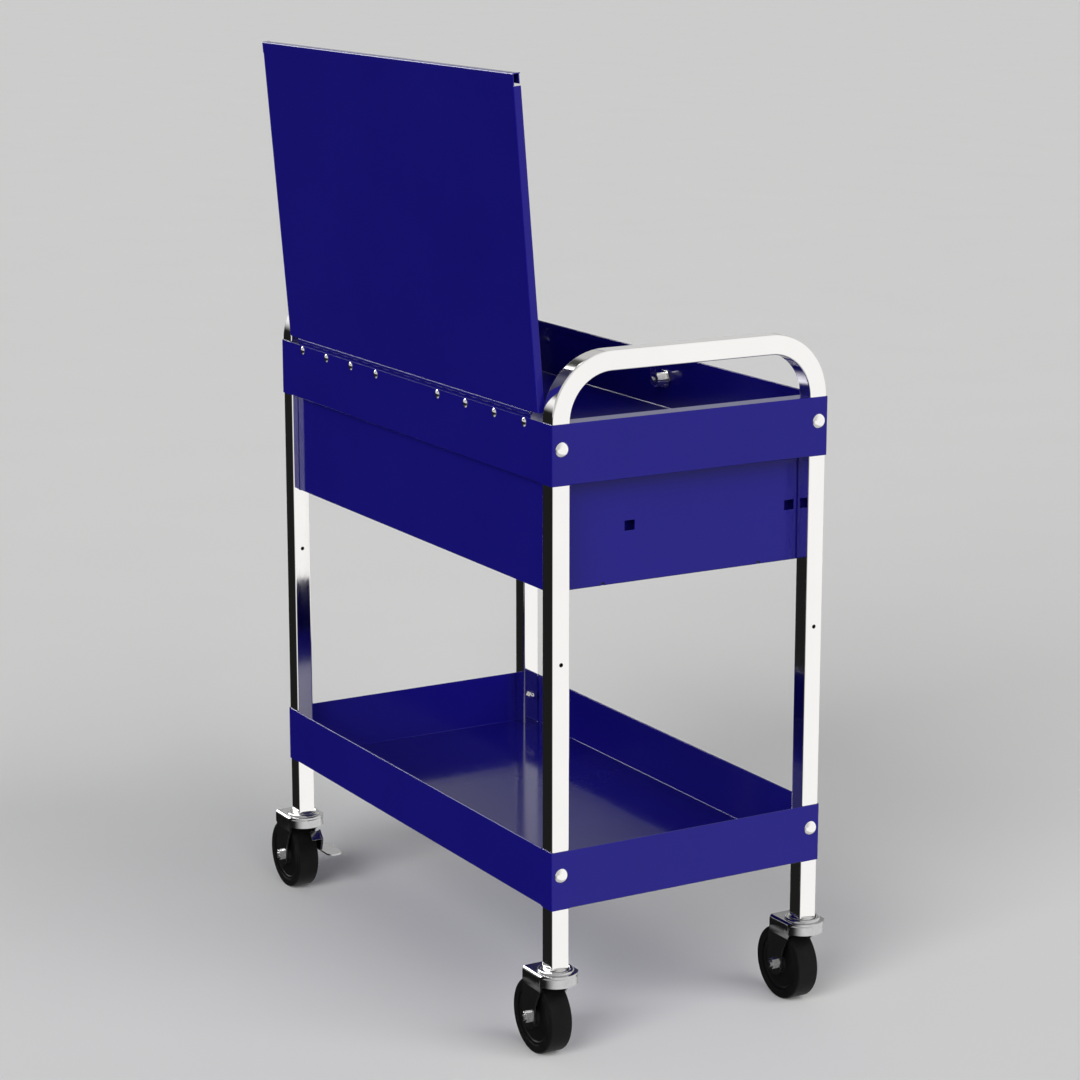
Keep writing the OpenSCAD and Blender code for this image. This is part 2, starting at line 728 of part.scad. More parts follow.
// Fork: round front with a turned-down skirt, two legs that step in and run to the axle
module fork_section(half) polygon([
  [0, fork_top], [fork_r - fork_bend, fork_top],
  for (i = [1 : bend_steps]) let (a = i * 90 / bend_steps)
    [fork_r - fork_bend + fork_bend * sin(a), fork_top - fork_bend + fork_bend * cos(a)],
  [fork_r, skirt_z], if (half) [fork_out, narrow_z], if (half) [fork_out, 0],
  if (half) [fork_in, 0], if (half) [fork_in, narrow_z],
  [fork_r - fork_sheet, skirt_z],
  for (i = [bend_steps : -1 : 1]) let (a = i * 90 / bend_steps, r = fork_bend - fork_sheet)
    [fork_r - fork_bend + r * sin(a), fork_top - fork_bend + r * cos(a)],
  [fork_r - fork_bend, fork_top - fork_sheet], [0, fork_top - fork_sheet]
]);

// Side view of the fork: skirt band above, legs below with a scooped front edge
module fork_side() {
  translate([-fork_r - over, skirt_z]) square([fork_r + over + fork_tail, 2 * fork_r]);
  difference() {
    union() {
      polygon([[-fork_r, skirt_z + over / 2], [fork_tail, skirt_z + over / 2],
        [leg_back, shoulder_z], [leg_back, tyre_r], [trail - boss_r, tyre_r]]);
      translate([trail, tyre_r]) circle(boss_r);
    }
    translate([front_cut_x, front_cut_z]) circle(front_cut_r);
  }
}

module fork() difference() {
  union() {
    rotate([0, 0, 90]) rotate_extrude(angle = 180) fork_section(false);
    intersection() {
      for (s = [0, 1]) mirror([0, s, 0]) rotate([90, 0, 90])
        translate([0, 0, -fork_r]) linear_extrude(2 * fork_r + leg_back) fork_section(true);
      rotate([90, 0, 0]) translate([0, 0, -fork_r - over])
        linear_extrude(2 * (fork_r + over)) fork_side();
      union() {
        translate([0, -fork_r - over, 0]) cube([2 * leg_back, 2 * (fork_r + over), fork_top]);
        cylinder(r = fork_r, h = fork_top);
      }
    }
    translate([0, 0, fork_top]) rotate_extrude() translate([bead_at, 0]) intersection() {
      circle(bead_r);
      translate([-bead_r, -over]) square([2 * bead_r, bead_r + over]);
    }
  }
  cylinder(r = stem_d / 2 + run_gap, h = 2 * fork_top);
  translate([trail, 0, tyre_r]) rod_y(axle_d / 2 + run_gap, 4 * fork_r);
}

// Fork with the brake rivet's hole in its front leg
module braked_fork() difference() {
  fork();
  translate([brake_x, -fork_out, brake_z]) rod_y(brake_pin_r, 4 * fork_sheet);
}

// Axle bolt with its head on the front side and its nut at the back
module axle() {
  translate([trail, 0, tyre_r]) {
    translate([0, -fork_out, 0]) rotate([90, 0, 0])
      cylinder(r = hex_across / sqrt(3), h = hex_h, $fn = 6);
    translate([0, (hex_h + axle_tail) / 2, 0])
      rod_y(axle_d / 2, 2 * fork_out + hex_h + axle_tail);
  }
  translate([trail, fork_out, tyre_r]) rotate([-90, 0, 0]) difference() {
    cylinder(r = hex_across / sqrt(3), h = hex_h, $fn = 6);
    translate([0, 0, -over]) cylinder(r = axle_d / 2 + run_gap, h = hex_h + 2 * over);
  }
}

module at_axle() translate([trail, 0, tyre_r]) rotate([90, 0, 0]) children();

// Wheel body: hub, web and rim turned about the axle
module wheel() at_axle() rotate_extrude() {
  translate([axle_d / 2 + run_gap, -hub_half])
    square([hub_r - axle_d / 2 - run_gap, 2 * hub_half]);
  translate([hub_r - over, -web_half]) square([tyre_in - hub_r + over, 2 * web_half]);
  translate([tyre_in - rim_t, -rim_half]) square([rim_t, 2 * rim_half]);
}

module tyre() at_axle() rotate_extrude() difference() {
  union() {
    translate([tyre_in, -wheel_w / 2]) square([tyre_r - tyre_round - tyre_in, wheel_w]);
    translate([tyre_in, -wheel_w / 2 + tyre_round])
      square([tyre_r - tyre_in, wheel_w - 2 * tyre_round]);
    for (s = [-1, 1]) translate([tyre_r - tyre_round, s * (wheel_w / 2 - tyre_round)])
      circle(tyre_round);
  }
}

// Point of the lever's plate, d out from the shoe's inner face and to one side of it
function at_shoe(d, side) = let (s = side * (shoe_w / 2 + shoe_root), r = shoe_r + d)
  [trail + r * cos(shoe_at) + s * sin(shoe_at), tyre_r + r * sin(shoe_at) - s * cos(shoe_at)];

module brake_lever() difference() {
  union() {
    translate([0, lever_y + lever_t, 0]) rotate([90, 0, 0]) linear_extrude(lever_t) {
      translate([brake_x, brake_z]) circle(lever_eye_r);
      polygon(lever_shape);
    }
    translate([pedal_end - pedal_l / 2, lever_y + lever_half - pedal_w / 2, lever_low])
      linear_extrude(lever_t) round_plate(pedal_l, pedal_w, pedal_round);
    translate([trail, 0, tyre_r]) rotate([0, -shoe_at, 0])
      translate([shoe_r, lever_y + lever_half, -shoe_w / 2])
        cube([shoe_t, shoe_in - lever_y - lever_half, shoe_w]);
  }
  translate([brake_x, lever_y, brake_z]) rod_y(brake_pin_r + run_gap, 4 * lever_t);
}

module brake_rivet() translate([brake_x, 0, brake_z]) {
  translate([0, lever_y - part_gap, 0]) rotate([90, 0, 0]) dome(brake_head_r, brake_head_h);
  translate([0, -fork_in, 0]) rotate([-90, 0, 0]) dome(brake_head_r - 1, brake_head_h / 2);
  translate([0, (lever_y - part_gap - fork_in) / 2, 0])
    rod_y(brake_pin_r, -fork_in - lever_y + part_gap + over / 2);
}

module stem_sockets() color(dark) for (n = [1 : 4]) at_caster(n) difference() {
  translate([0, 0, leg_foot]) linear_extrude(socket_h)
    round_square(tube_in - 2 * fit_gap, tube_in_corner);
  translate([0, 0, leg_foot - over])
    cylinder(r = stem_d / 2 + run_gap, h = socket_h + 2 * over);
}

module swivel_balls() color(chrome) for (n = [1 : 4]) at_caster(n) for (i = [1 : balls])
  rotate([0, 0, i * 360 / balls]) translate([ball_at, 0, ball_z]) sphere(ball_r);

module caster_1_stem() color(zinc) at_caster(1) stem();
module caster_2_stem() color(zinc) at_caster(2) stem();
module caster_3_stem() color(zinc) at_caster(3) stem();
module caster_4_stem() color(zinc) at_caster(4) stem();
module caster_1_fork() color(zinc) at_caster(1) fork();
module caster_2_fork() color(zinc) at_caster(2) fork();
module caster_3_fork() color(zinc) at_caster(3) braked_fork();
module caster_4_fork() color(zinc) at_caster(4) braked_fork();
module caster_1_axle() color(zinc) at_caster(1) axle();
module caster_2_axle() color(zinc) at_caster(2) axle();
module caster_3_axle() color(zinc) at_caster(3) axle();
module caster_4_axle() color(zinc) at_caster(4) axle();
module caster_1_wheel() color(dark) at_caster(1) wheel();
module caster_2_wheel() color(dark) at_caster(2) wheel();
module caster_3_wheel() color(dark) at_caster(3) wheel();
module caster_4_wheel() color(dark) at_caster(4) wheel();
module caster_1_tyre() color(black) at_caster(1) tyre();
module caster_2_tyre() color(black) at_caster(2) tyre();
module caster_3_tyre() color(black) at_caster(3) tyre();
module caster_4_tyre() color(black) at_caster(4) tyre();
module brake_3_lever() color(zinc) at_caster(3) brake_lever();
module brake_4_lever() color(zinc) at_caster(4) brake_lever();
module brake_3_rivet() color(zinc) at_caster(3) brake_rivet();
module brake_4_rivet() color(zinc) at_caster(4) brake_rivet();

end_frame_near();
end_frame_far();
upper_tray();
lower_tray();
tray_bolts();
cap_nuts();
drawer_housing();
housing_screws();
lock_rail();
tray_hinge_leaf();
hinge_pin();
hinge_rivets();
lid_lock_barrel();
lid_lock_nut();
slide_outer_near();
slide_outer_far();
stem_sockets();
swivel_balls();
lid_panel();
lid_hinge_leaf();
lid_catch();
lid_lock_plug();
lid_lock_cam();
drawer_box();
drawer_front();
drawer_pull();
drawer_screws();
slide_inner_near();
slide_inner_far();
drawer_lock_barrel();
drawer_lock_nut();
drawer_lock_plug();
drawer_lock_cam();
slide_middle_near();
slide_middle_far();
caster_1_stem();
caster_1_fork();
caster_1_axle();
caster_1_wheel();
caster_1_tyre();
caster_2_stem();
caster_2_fork();
caster_2_axle();
caster_2_wheel();
caster_2_tyre();
caster_3_stem();
caster_3_fork();
caster_3_axle();
caster_3_wheel();
caster_3_tyre();
caster_4_stem();
caster_4_fork();
caster_4_axle();
caster_4_wheel();
caster_4_tyre();
brake_3_lever();
brake_3_rivet();
brake_4_lever();
brake_4_rivet();
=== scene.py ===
"""Flip top service cart: the looks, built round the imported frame.

Lengths are in metres, in the frame's own axes: X runs along the trays away from the near end,
Y towards the hinge side and Z up from the floor. Sizes that the frame holds are read from it.
"""

import json
import math

import bmesh
import bpy
from mathutils import Matrix, Vector


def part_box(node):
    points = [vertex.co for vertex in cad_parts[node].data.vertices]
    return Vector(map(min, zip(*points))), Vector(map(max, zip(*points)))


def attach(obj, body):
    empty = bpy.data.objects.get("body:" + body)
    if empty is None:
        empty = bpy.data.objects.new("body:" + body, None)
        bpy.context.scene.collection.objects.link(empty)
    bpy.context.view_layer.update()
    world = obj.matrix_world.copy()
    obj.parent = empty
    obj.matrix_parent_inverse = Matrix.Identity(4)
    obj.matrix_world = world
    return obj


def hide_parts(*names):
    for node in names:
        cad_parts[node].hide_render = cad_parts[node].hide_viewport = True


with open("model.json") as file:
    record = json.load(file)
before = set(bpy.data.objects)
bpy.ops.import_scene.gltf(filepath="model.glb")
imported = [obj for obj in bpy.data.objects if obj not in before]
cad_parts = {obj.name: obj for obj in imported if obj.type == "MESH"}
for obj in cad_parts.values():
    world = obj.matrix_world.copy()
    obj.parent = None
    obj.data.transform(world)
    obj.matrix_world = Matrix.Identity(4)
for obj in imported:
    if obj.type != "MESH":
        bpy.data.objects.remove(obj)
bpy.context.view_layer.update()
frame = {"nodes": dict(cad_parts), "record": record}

MM = 0.001
X, Y, Z = Vector((1, 0, 0)), Vector((0, 1, 0)), Vector((0, 0, 1))
low, high = {}, {}
for node in frame["nodes"]:
    low[node], high[node] = (Vector(corner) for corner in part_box(node))
slot_of = {part["node"]: part["material_slot"] for part in frame["record"]["subparts"]}
behaviour = frame["record"]["behaviour"]
body_of = {node: body for body, nodes in behaviour["bodies"].items() for node in nodes}
joints = {joint["name"]: joint for joint in behaviour["joints"]}
joint_at = {name: Vector(joint["pos_m"]) for name, joint in joints.items() if "pos_m" in joint}


def middle(node):
    """Middle of a node's box."""
    return (low[node] + high[node]) / 2


def half_size(node):
    """Half of a node's box along each axis."""
    return (high[node] - low[node]) / 2


# Sheet metal: thicknesses, bend radii at the sheet's middle, rims and relief cuts
sheet = 1.2 * MM
box_sheet = 1 * MM
mid = sheet / 2
fold = 1.6 * MM
corner_fold = 1.4 * MM
hem_turn = 0.65 * MM
hem_depth = 9 * MM
rim_band = 3.5 * MM
rim_flange = 25.4 * MM
relief = 0.5 * MM

# Square tube, its handle bend and the hole in each leg
tube = 25.4 * MM
tube_wall = 1.5 * MM
tube_corner = 2.5 * MM
handle_bend = 72 * MM
leg_hole = 5.5 * MM
leg_hole_z = 521 * MM
leg_room = 0.3 * MM

# Places shared by the pieces: the hinge's axis, the lid over it, and radii of the locks and screws
axis_inset = 2 * MM
lid_rise = 3.56 * MM
lock_hole = 9.3 * MM
screw_head = 5 * MM
screw_length = 6 * MM
pull_radius = 4.5 * MM

centre = Vector((middle("upper_tray").x, middle("upper_tray").y, 0))
wall = half_size("upper_tray")
leg_x, leg_y = (edge - sheet - tube / 2 for edge in (wall.x, wall.y))
leg_gap = (leg_x - tube / 2 - leg_room, leg_y - tube / 2 - leg_room)


# Materials


class NodeTree:
    """A node tree being built."""

    def put(self, value, socket):
        """Links another node's result to a socket, or sets the socket's constant."""
        if isinstance(value, bpy.types.NodeSocket):
            self.tree.links.new(value, socket)
        elif socket.type == "RGBA":
            socket.default_value = (*value, 1)
        else:
            socket.default_value = value

    def add(self, kind, inputs=(), **settings):
        """Adds a node, sets its properties and fills its inputs by name or number."""
        node = self.tree.nodes.new(kind)
        for key, value in settings.items():
            setattr(node, key, value)
        for key, value in dict(inputs).items():
            self.put(value, node.inputs[key])
        return node


class ShaderTree(NodeTree):
    """A shader's node tree, with the helpers that materials and the world share."""

    def span(self, value, start, end, lowest, highest, kind="LINEAR"):
        """A number that goes from one limit to another while a value crosses a span."""
        limits = {"From Min": start, "From Max": end, "To Min": lowest, "To Max": highest}
        node = self.add("ShaderNodeMapRange", {"Value": value, **limits}, interpolation_type=kind)
        return node.outputs["Result"]

    def spread(self, value, lowest, highest):
        """A number between two limits that follows a noise."""
        return self.span(value, 0.25, 0.75, lowest, highest)

    def step(self, value, start, end, lowest, highest):
        """A number that goes smoothly from one limit to another."""
        return self.span(value, start, end, lowest, highest, "SMOOTHSTEP")

    def math(self, operation, *values):
        """Result of one math node."""
        return self.add("ShaderNodeMath", dict(enumerate(values)), operation=operation).outputs[0]

    def dot(self, value, way):
        """Length of a vector along a direction."""
        node = self.add("ShaderNodeVectorMath", {0: value, 1: way}, operation="DOT_PRODUCT")
        return node.outputs["Value"]

    def mix(self, factor, first, second):
        """Colour between two colours."""
        return self.add("ShaderNodeMix", {0: factor, 6: first, 7: second}, data_type="RGBA").outputs[2]


class Surface(ShaderTree):
    """A material being built round its principled shader."""

    def __init__(self, name, **constants):
        self.material = bpy.data.materials.new(name)
        self.material.use_nodes = True
        self.tree = self.material.node_tree
        self.principled = self.tree.nodes["Principled BSDF"]
        for socket, value in constants.items():
            self.set(socket.replace("_", " "), value)

    def set(self, socket, value):
        """Links or sets one of the principled shader's sockets."""
        self.put(value, self.principled.inputs[socket])

    def noise(self, scale, detail=2.0, rough=0.5, stretch=(1, 1, 1)):
        """Noise over the piece's own place, per metre, stretched along an axis."""
        place = self.add("ShaderNodeTexCoord").outputs["Object"]
        mapped = self.add("ShaderNodeMapping", {"Vector": place, "Scale": stretch}).outputs[0]
        sizes = {"Scale": scale, "Detail": detail, "Roughness": rough}
        return self.add("ShaderNodeTexNoise", {"Vector": mapped, **sizes}).outputs["Fac"]

    def ramp(self, value, *stops):
        """Maps a value through colour stops: (position, colour)."""
        node = self.add("ShaderNodeValToRGB", {"Fac": value})
        for element, (at, colour) in zip(node.color_ramp.elements, stops):
            element.position = at
            element.color = (*colour, 1)
        return node.outputs["Color"]

    def edges(self, radius, onset=0.04, full=0.3):
        """1 along outer edges and 0 on the flats: the mask of the paint's painted edge highlight."""
        edge_normal = self.add("ShaderNodeBevel", {"Radius": radius}, samples=4)
        face = self.add("ShaderNodeNewGeometry")
        match = self.dot(edge_normal.outputs["Normal"], face.outputs["Normal"])
        return self.span(match, 1 - onset, 1 - full, 0, 1)

    def bump(self, height, strength, distance):
        """Joins a height to the shader's normal."""
        sizes = {"Strength": strength, "Distance": distance}
        self.set("Normal", self.add("ShaderNodeBump", {"Height": height, **sizes}).outputs["Normal"])


def gloss_paint():
    """Deep blue powder coat: even colour with a painted highlight of lighter blue along every edge, a
    faint orange peel and a hard gloss.
    """
    paint = Surface("Blue powder coat", Specular_IOR_Level=0.2, Specular_Tint=(0.99, 0.92, 1.0))
    tone = paint.noise(7, detail=4)
    colour = paint.ramp(tone, (0.3, (0.0072, 0.0052, 0.166)), (0.7, (0.0084, 0.0062, 0.178)))
    # Painted highlight: a lighter blue along every edge, standing in for light caught where the folds and
    # cut edges turn.
    painted_edge_highlight = paint.edges(1.0 * MM)
    paint.set("Base Color", paint.mix(painted_edge_highlight, colour, (0.02, 0.017, 0.21)))
    paint.set("Roughness", paint.spread(paint.noise(38, detail=5, rough=0.6), 0.08, 0.13))
    paint.bump(paint.noise(190, detail=0.5), 0.15, 0.06 * MM)
    return paint.material


def polished_chrome():
    """Bright chrome plate with faint polishing marks along the tube."""
    chrome = Surface("Polished chrome", Metallic=1.0)
    tone = chrome.ramp(chrome.noise(14), (0.3, (0.9, 0.885, 0.87)), (0.7, (0.92, 0.905, 0.885)))
    chrome.set("Base Color", tone)
    marks = chrome.noise(700, detail=3, stretch=(1, 1, 0.05))
    chrome.set("Roughness", chrome.spread(marks, 0.04, 0.09))
    chrome.bump(chrome.noise(45, detail=1), 0.12, 0.1 * MM)
    return chrome.material


def zinc_plate():
    """Bright zinc plate on pressed steel, slightly cloudy."""
    zinc = Surface("Bright zinc plate", Metallic=1.0)
    cloud = zinc.noise(130, detail=5, rough=0.6)
    zinc.set("Base Color", zinc.ramp(cloud, (0.3, (0.5, 0.5, 0.51)), (0.7, (0.57, 0.565, 0.56))))
    zinc.set("Roughness", zinc.spread(zinc.noise(260, detail=4), 0.14, 0.22))
    zinc.bump(zinc.noise(300, detail=1), 0.06, 0.08 * MM)
    return zinc.material


def tyre_rubber():
    """Dark hard rubber with a fine matt grain and a little dust."""
    rubber = Surface("Dark rubber", Specular_IOR_Level=0.08)
    dust = rubber.noise(45, detail=6, rough=0.65)
    tone = rubber.ramp(dust, (0.35, (0.0042, 0.0041, 0.0043)), (0.75, (0.0075, 0.0072, 0.007)))
    rubber.set("Base Color", tone)
    rubber.set("Roughness", rubber.spread(rubber.noise(300, detail=3), 0.4, 0.55))
    rubber.bump(rubber.noise(1500, detail=3), 0.2, 0.12 * MM)
    return rubber.material


def moulded_plastic(name, tone):
    """Moulded plastic with a fine spark texture."""
    plastic = Surface(name, Specular_IOR_Level=0.12)
    shade = plastic.noise(60, detail=3)
    plastic.set("Base Color", plastic.ramp(shade, (0.3, (tone,) * 3), (0.7, (tone * 1.3,) * 3)))
    plastic.set("Roughness", plastic.spread(plastic.noise(500), 0.34, 0.46))
    plastic.bump(plastic.noise(1800, detail=2), 0.15, 0.1 * MM)
    return plastic.material


finish = {
    "blue_paint": gloss_paint(),
    "chrome": polished_chrome(),
    "zinc": zinc_plate(),
    "tyre": tyre_rubber(),
    "wheel_core": moulded_plastic("Black moulded nylon", 0.004),
    "socket": moulded_plastic("Dark moulded insert", 0.015),
}
for node, shown in frame["nodes"].items():
    shown.data.materials.clear()
    shown.data.materials.append(finish[slot_of[node]])


# Making meshes


def bend(across, up, radius, start, end, steps=5):
    """Points of an arc round a centre, from one angle to another in degrees."""
    turns = [math.radians(start + (end - start) * i / steps) for i in range(steps + 1)]
    return [(across + radius * math.cos(turn), up + radius * math.sin(turn)) for turn in turns]


def in_mm(outline):
    """Outline in metres, from one in millimetres."""
    return [(a * MM, b * MM) for a, b in outline]


def mirrored(half):
    """Outline that goes back over its own half with the heights turned round."""
    return half + [(radius, -up) for radius, up in reversed(half)]


def strip(mesh, rows, closed=False):
    """Joins rows of points with four-sided faces."""
    made = [[mesh.verts.new(point) for point in row] for row in rows]
    for below, above in zip(made, made[1:]):
        for i in range(len(below) - (not closed)):
            j = (i + 1) % len(below)
            mesh.faces.new((below[i], below[j], above[j], above[i]))


def folded(mesh, span, inward, chain):
    """Strip of sheet between two places on a wall, along (inward, height) points."""
    strip(mesh, [[Vector((*(place + inward * step), up)) for place in span] for step, up in chain])


def upright(mesh, span, heights):
    """Flat strip of a wall between two places."""
    strip(mesh, [[Vector((*place, up)) for place in span] for up in heights])


def lathe(mesh, outline, segments=32, place=Matrix()):
    """Turns (radius, height) points about the place's own z axis; an end on the axis is closed."""
    rings = []
    turns = [2 * math.pi * i / segments for i in range(segments)]
    for radius, up in outline:
        angles = turns if radius > 1e-7 else turns[:1]
        around = [Vector((radius * math.cos(a), radius * math.sin(a), up)) for a in angles]
        rings.append([mesh.verts.new(place @ point) for point in around])
    for lower, upper in zip(rings, rings[1:]):
        for i in range(segments):
            j = (i + 1) % segments
            if len(lower) == 1:
                mesh.faces.new((lower[0], upper[j], upper[i]))
            elif len(upper) == 1:
                mesh.faces.new((lower[i], lower[j], upper[0]))
            else:
                mesh.faces.new((lower[i], lower[j], upper[j], upper[i]))


def ring(mesh, outline, segments=32, place=Matrix()):
    """Turns a closed outline of (radius, height) points that doesn't touch the axis."""
    lathe(mesh, outline + outline[:1], segments, place)


def dome(radius, rise, rim=0.0, steps=7):
    """Outline of a round head on its rim, from the edge of its seat to its top."""
    ball = (radius**2 + (rise - rim) ** 2) / (2 * (rise - rim))
    start = math.asin(radius / ball)
    points = [(radius, 0)] + ([(radius, rim)] if rim else [])
    for i in range(1, steps + 1):
        angle = start * (1 - i / steps)
        points.append((ball * math.sin(angle), rise - ball + ball * math.cos(angle)))
    return points


def headed(mesh, crown, shaft, length):
    """Shaft with a round head, its seat at the origin."""
    bevel = 0.4 * MM
    outline = [(0, -length), (shaft - bevel, -length), (shaft, bevel - length), (shaft, 0)]
    lathe(mesh, outline + crown, 36)


def prism(mesh, outline, bottom, top, place=Matrix()):
    """Solid between two heights over an outline that turns anticlockwise."""
    floor, roof = ([mesh.verts.new(place @ Vector((x, y, z))) for x, y in outline] for z in (bottom, top))
    mesh.faces.new(floor[::-1])
    mesh.faces.new(roof)
    for i in range(len(outline)):
        j = (i + 1) % len(outline)
        mesh.faces.new((floor[i], floor[j], roof[j], roof[i]))


def rounded(width, height, radius, steps=5):
    """Corners of a rectangle with round corners, anticlockwise."""
    points = []
    for quarter, (sx, sy) in enumerate(((1, 1), (-1, 1), (-1, -1), (1, -1))):
        x, y, start = sx * (width / 2 - radius), sy * (height / 2 - radius), 90 * quarter
        points += bend(x, y, radius, start, start + 90, steps)
    return points


def arch(half_span, foot, top, radius, steps):
    """Path of an upside down U, as (across, up, angle) from one foot to the other."""
    path = [(-half_span, foot, 90)]
    for i, (across, up) in enumerate(bend(radius - half_span, top - radius, radius, 180, 90, steps)):
        path.append((across, up, 90 - 90 * i / steps))
    return path + [(-across, up, -angle) for across, up, angle in reversed(path)]


def sweep(mesh, outline, path, offset, normal, first, second):
    """Wall of a bar bent along a path in the plane of two directions; returns its rows."""
    rows = []
    for across, up, angle in path:
        turn = math.radians(angle)
        side = second * math.cos(turn) - first * math.sin(turn)
        at = offset + first * across + second * up
        rows.append([at + normal * p + side * q for p, q in outline])
    strip(mesh, rows, closed=True)
    return rows


def turned(place, axis):
    """Matrix that puts z along an axis, at a place."""
    return Matrix.Translation(place) @ Vector(axis).to_track_quat("Z", "X").to_matrix().to_4x4()


def add_object(name, data):
    """Object of the scene that holds some data."""
    obj = bpy.data.objects.new(name, data)
    bpy.context.scene.collection.objects.link(obj)
    return obj


def new_object(name, mesh, place=Matrix()):
    """Object from mesh data that is being built, moved to its place in the mesh."""
    bmesh.ops.remove_doubles(mesh, verts=mesh.verts, dist=1e-6)
    bmesh.ops.recalc_face_normals(mesh, faces=mesh.faces)
    mesh.transform(place)
    data = bpy.data.meshes.new(name)
    mesh.to_mesh(data)
    mesh.free()
    return add_object(name, data)


def settle(obj):
    """Turns an object's modifiers into its plain mesh."""
    graph = bpy.context.evaluated_depsgraph_get()
    graph.update()
    made = bpy.data.meshes.new_from_object(obj.evaluated_get(graph), depsgraph=graph)
    obj.modifiers.clear()
    old, obj.data = obj.data, made
    made.name = obj.name
    bpy.data.meshes.remove(old)


def smoothed(obj, sharp=32):
    """Bakes an object with smooth shading that keeps the flats flat and the hard edges hard."""
    settle(obj)
    obj.data.shade_smooth()
    obj.data.set_sharp_from_angle(angle=math.radians(sharp))
    even = obj.modifiers.new("Flat faces", "WEIGHTED_NORMAL")
    even.keep_sharp = True
    even.weight = 100
    settle(obj)


def ease(obj, width, angle=35):
    """Small round along the hard edges."""
    eased = obj.modifiers.new("Eased edges", "BEVEL")
    eased.width = width
    eased.segments = 2
    eased.limit_method = "ANGLE"
    eased.angle_limit = math.radians(angle)
    eased.use_clamp_overlap = True
    eased.miter_outer = "MITER_ARC"


def thicken(obj, thickness=sheet):
    """Gives a folded sheet its thickness and eases its cut edges."""
    walls = obj.modifiers.new("Sheet thickness", "SOLIDIFY")
    walls.thickness = thickness
    walls.offset = 0
    walls.use_even_offset = True
    walls.use_quality_normals = True
    ease(obj, 0.22 * MM, 50)


def carve(obj, mesh, name):
    """Cuts a form that is being built out of an object."""
    tool = new_object(name + "_cutter", mesh)
    cut = obj.modifiers.new(name, "BOOLEAN")
    cut.operation, cut.solver, cut.object = "DIFFERENCE", "EXACT", tool
    settle(obj)
    bpy.data.objects.remove(tool)


def bore(obj, radius, place, axis, length=8 * MM):
    """Cuts a round hole through a sheet or a tube."""
    cutter = bmesh.new()
    end = length / 2
    lathe(cutter, [(0, -end), (radius, -end), (radius, end), (0, end)], 40, turned(place, axis))
    carve(obj, cutter, "hole")


def lock_bore(obj, node, barrel):
    """Cuts a lock's hole through the front of a node's piece."""
    at = middle(barrel)
    bore(obj, lock_hole, Vector((at.x, low[node].y, at.z)), Y)


def stand_for(obj, node):
    """Lets a finished piece stand for its node: gives it the node's body and finish, and hides the node's
    own part.
    """
    obj.data.materials.clear()
    obj.data.materials.append(finish[slot_of[node]])
    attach(obj, body_of[node])
    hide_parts(node)


def complete(obj, node, sharp=32):
    """Bakes a piece with its smooth shading and lets it stand for its node."""
    smoothed(obj, sharp)
    stand_for(obj, node)


def dress(node, width):
    """Merged copy of a node with small rounds on its hard edges."""
    mesh = bmesh.new()
    mesh.from_mesh(frame["nodes"][node].data)
    mesh.transform(frame["nodes"][node].matrix_world)
    bmesh.ops.remove_doubles(mesh, verts=mesh.verts, dist=2e-6)
    flat = {"angle_limit": math.radians(0.5), "delimit": {"NORMAL"}}
    bmesh.ops.dissolve_limit(mesh, verts=mesh.verts, edges=mesh.edges, **flat)
    obj = new_object(node + "_piece", mesh)
    ease(obj, width)
    complete(obj, node)


# Trays, housing, lid and end frames


def pan(node, rims):
    """Folded tray with a leg gap in each corner. The rims are named by side: +X, +Y, -X, -Y."""
    mesh = bmesh.new()
    floor_z, rim_z = low[node].z, high[node].z
    fold_low, fold_high = floor_z + mid + fold, rim_z - rim_band
    half = (wall.x - mid, wall.y - mid)
    flange = bend(fold, rim_z - mid - fold, fold, 180, 90) + [(rim_flange - mid, rim_z - mid)]
    hem = bend(hem_turn, rim_z - mid - hem_turn, hem_turn, 180, 0, 8)
    hem += [(2 * hem_turn, rim_z - hem_depth)]
    rim_chain = {"plain": [(0, rim_z)], "flange": flange, "hem": hem}
    foot_chain = bend(fold, fold_low, fold, 180, 270)
    for side, rim in enumerate(rims):
        out = Vector(((1, 0), (0, 1), (-1, 0), (0, -1))[side])
        along = Vector((-out.y, out.x))
        length, end = half[1 - side % 2] - corner_fold, leg_gap[1 - side % 2]
        steps = (-length, -end - relief, -end, end, end + relief, length)
        places = [out * half[side % 2] + along * step for step in steps]
        for i, span in enumerate(zip(places, places[1:])):
            upright(mesh, span, (fold_low, fold_high))
            if i == 2:
                folded(mesh, span, -out, foot_chain)
                folded(mesh, span, -out, [(0, fold_high)] + rim_chain[rim])
            elif i in (0, 4):
                upright(mesh, span, (floor_z, fold_low))
            if i in (0, 4) or (rim == "plain" and i != 2):
                upright(mesh, span, (fold_high, rim_z))
        pivot = places[-1] - out * corner_fold
        corner = [pivot + out * c + along * s for c, s in bend(0, 0, corner_fold, 0, 90)]
        for span in zip(corner, corner[1:]):
            upright(mesh, span, (floor_z, fold_low, fold_high, rim_z))
    xs, ys = ((fold - edge, -end, end, edge - fold) for edge, end in zip(half, leg_gap))
    for i, j in ((0, 1), (1, 0), (1, 1), (1, 2), (2, 1)):
        strip(mesh, [[Vector((x, y, floor_z + mid)) for x in xs[i : i + 2]] for y in ys[j : j + 2]])
    obj = new_object(node + "_sheet", mesh, Matrix.Translation(centre))
    thicken(obj)
    return obj


def trays():
    """Upper tray with end flanges and a hemmed front, lower tray with both long rims hemmed."""
    upper = pan("upper_tray", ("flange", "plain", "flange", "hem"))
    lock_bore(upper, "upper_tray", "lid_lock_barrel")
    complete(upper, "upper_tray")
    complete(pan("lower_tray", ("plain", "hem", "plain", "hem")), "lower_tray")


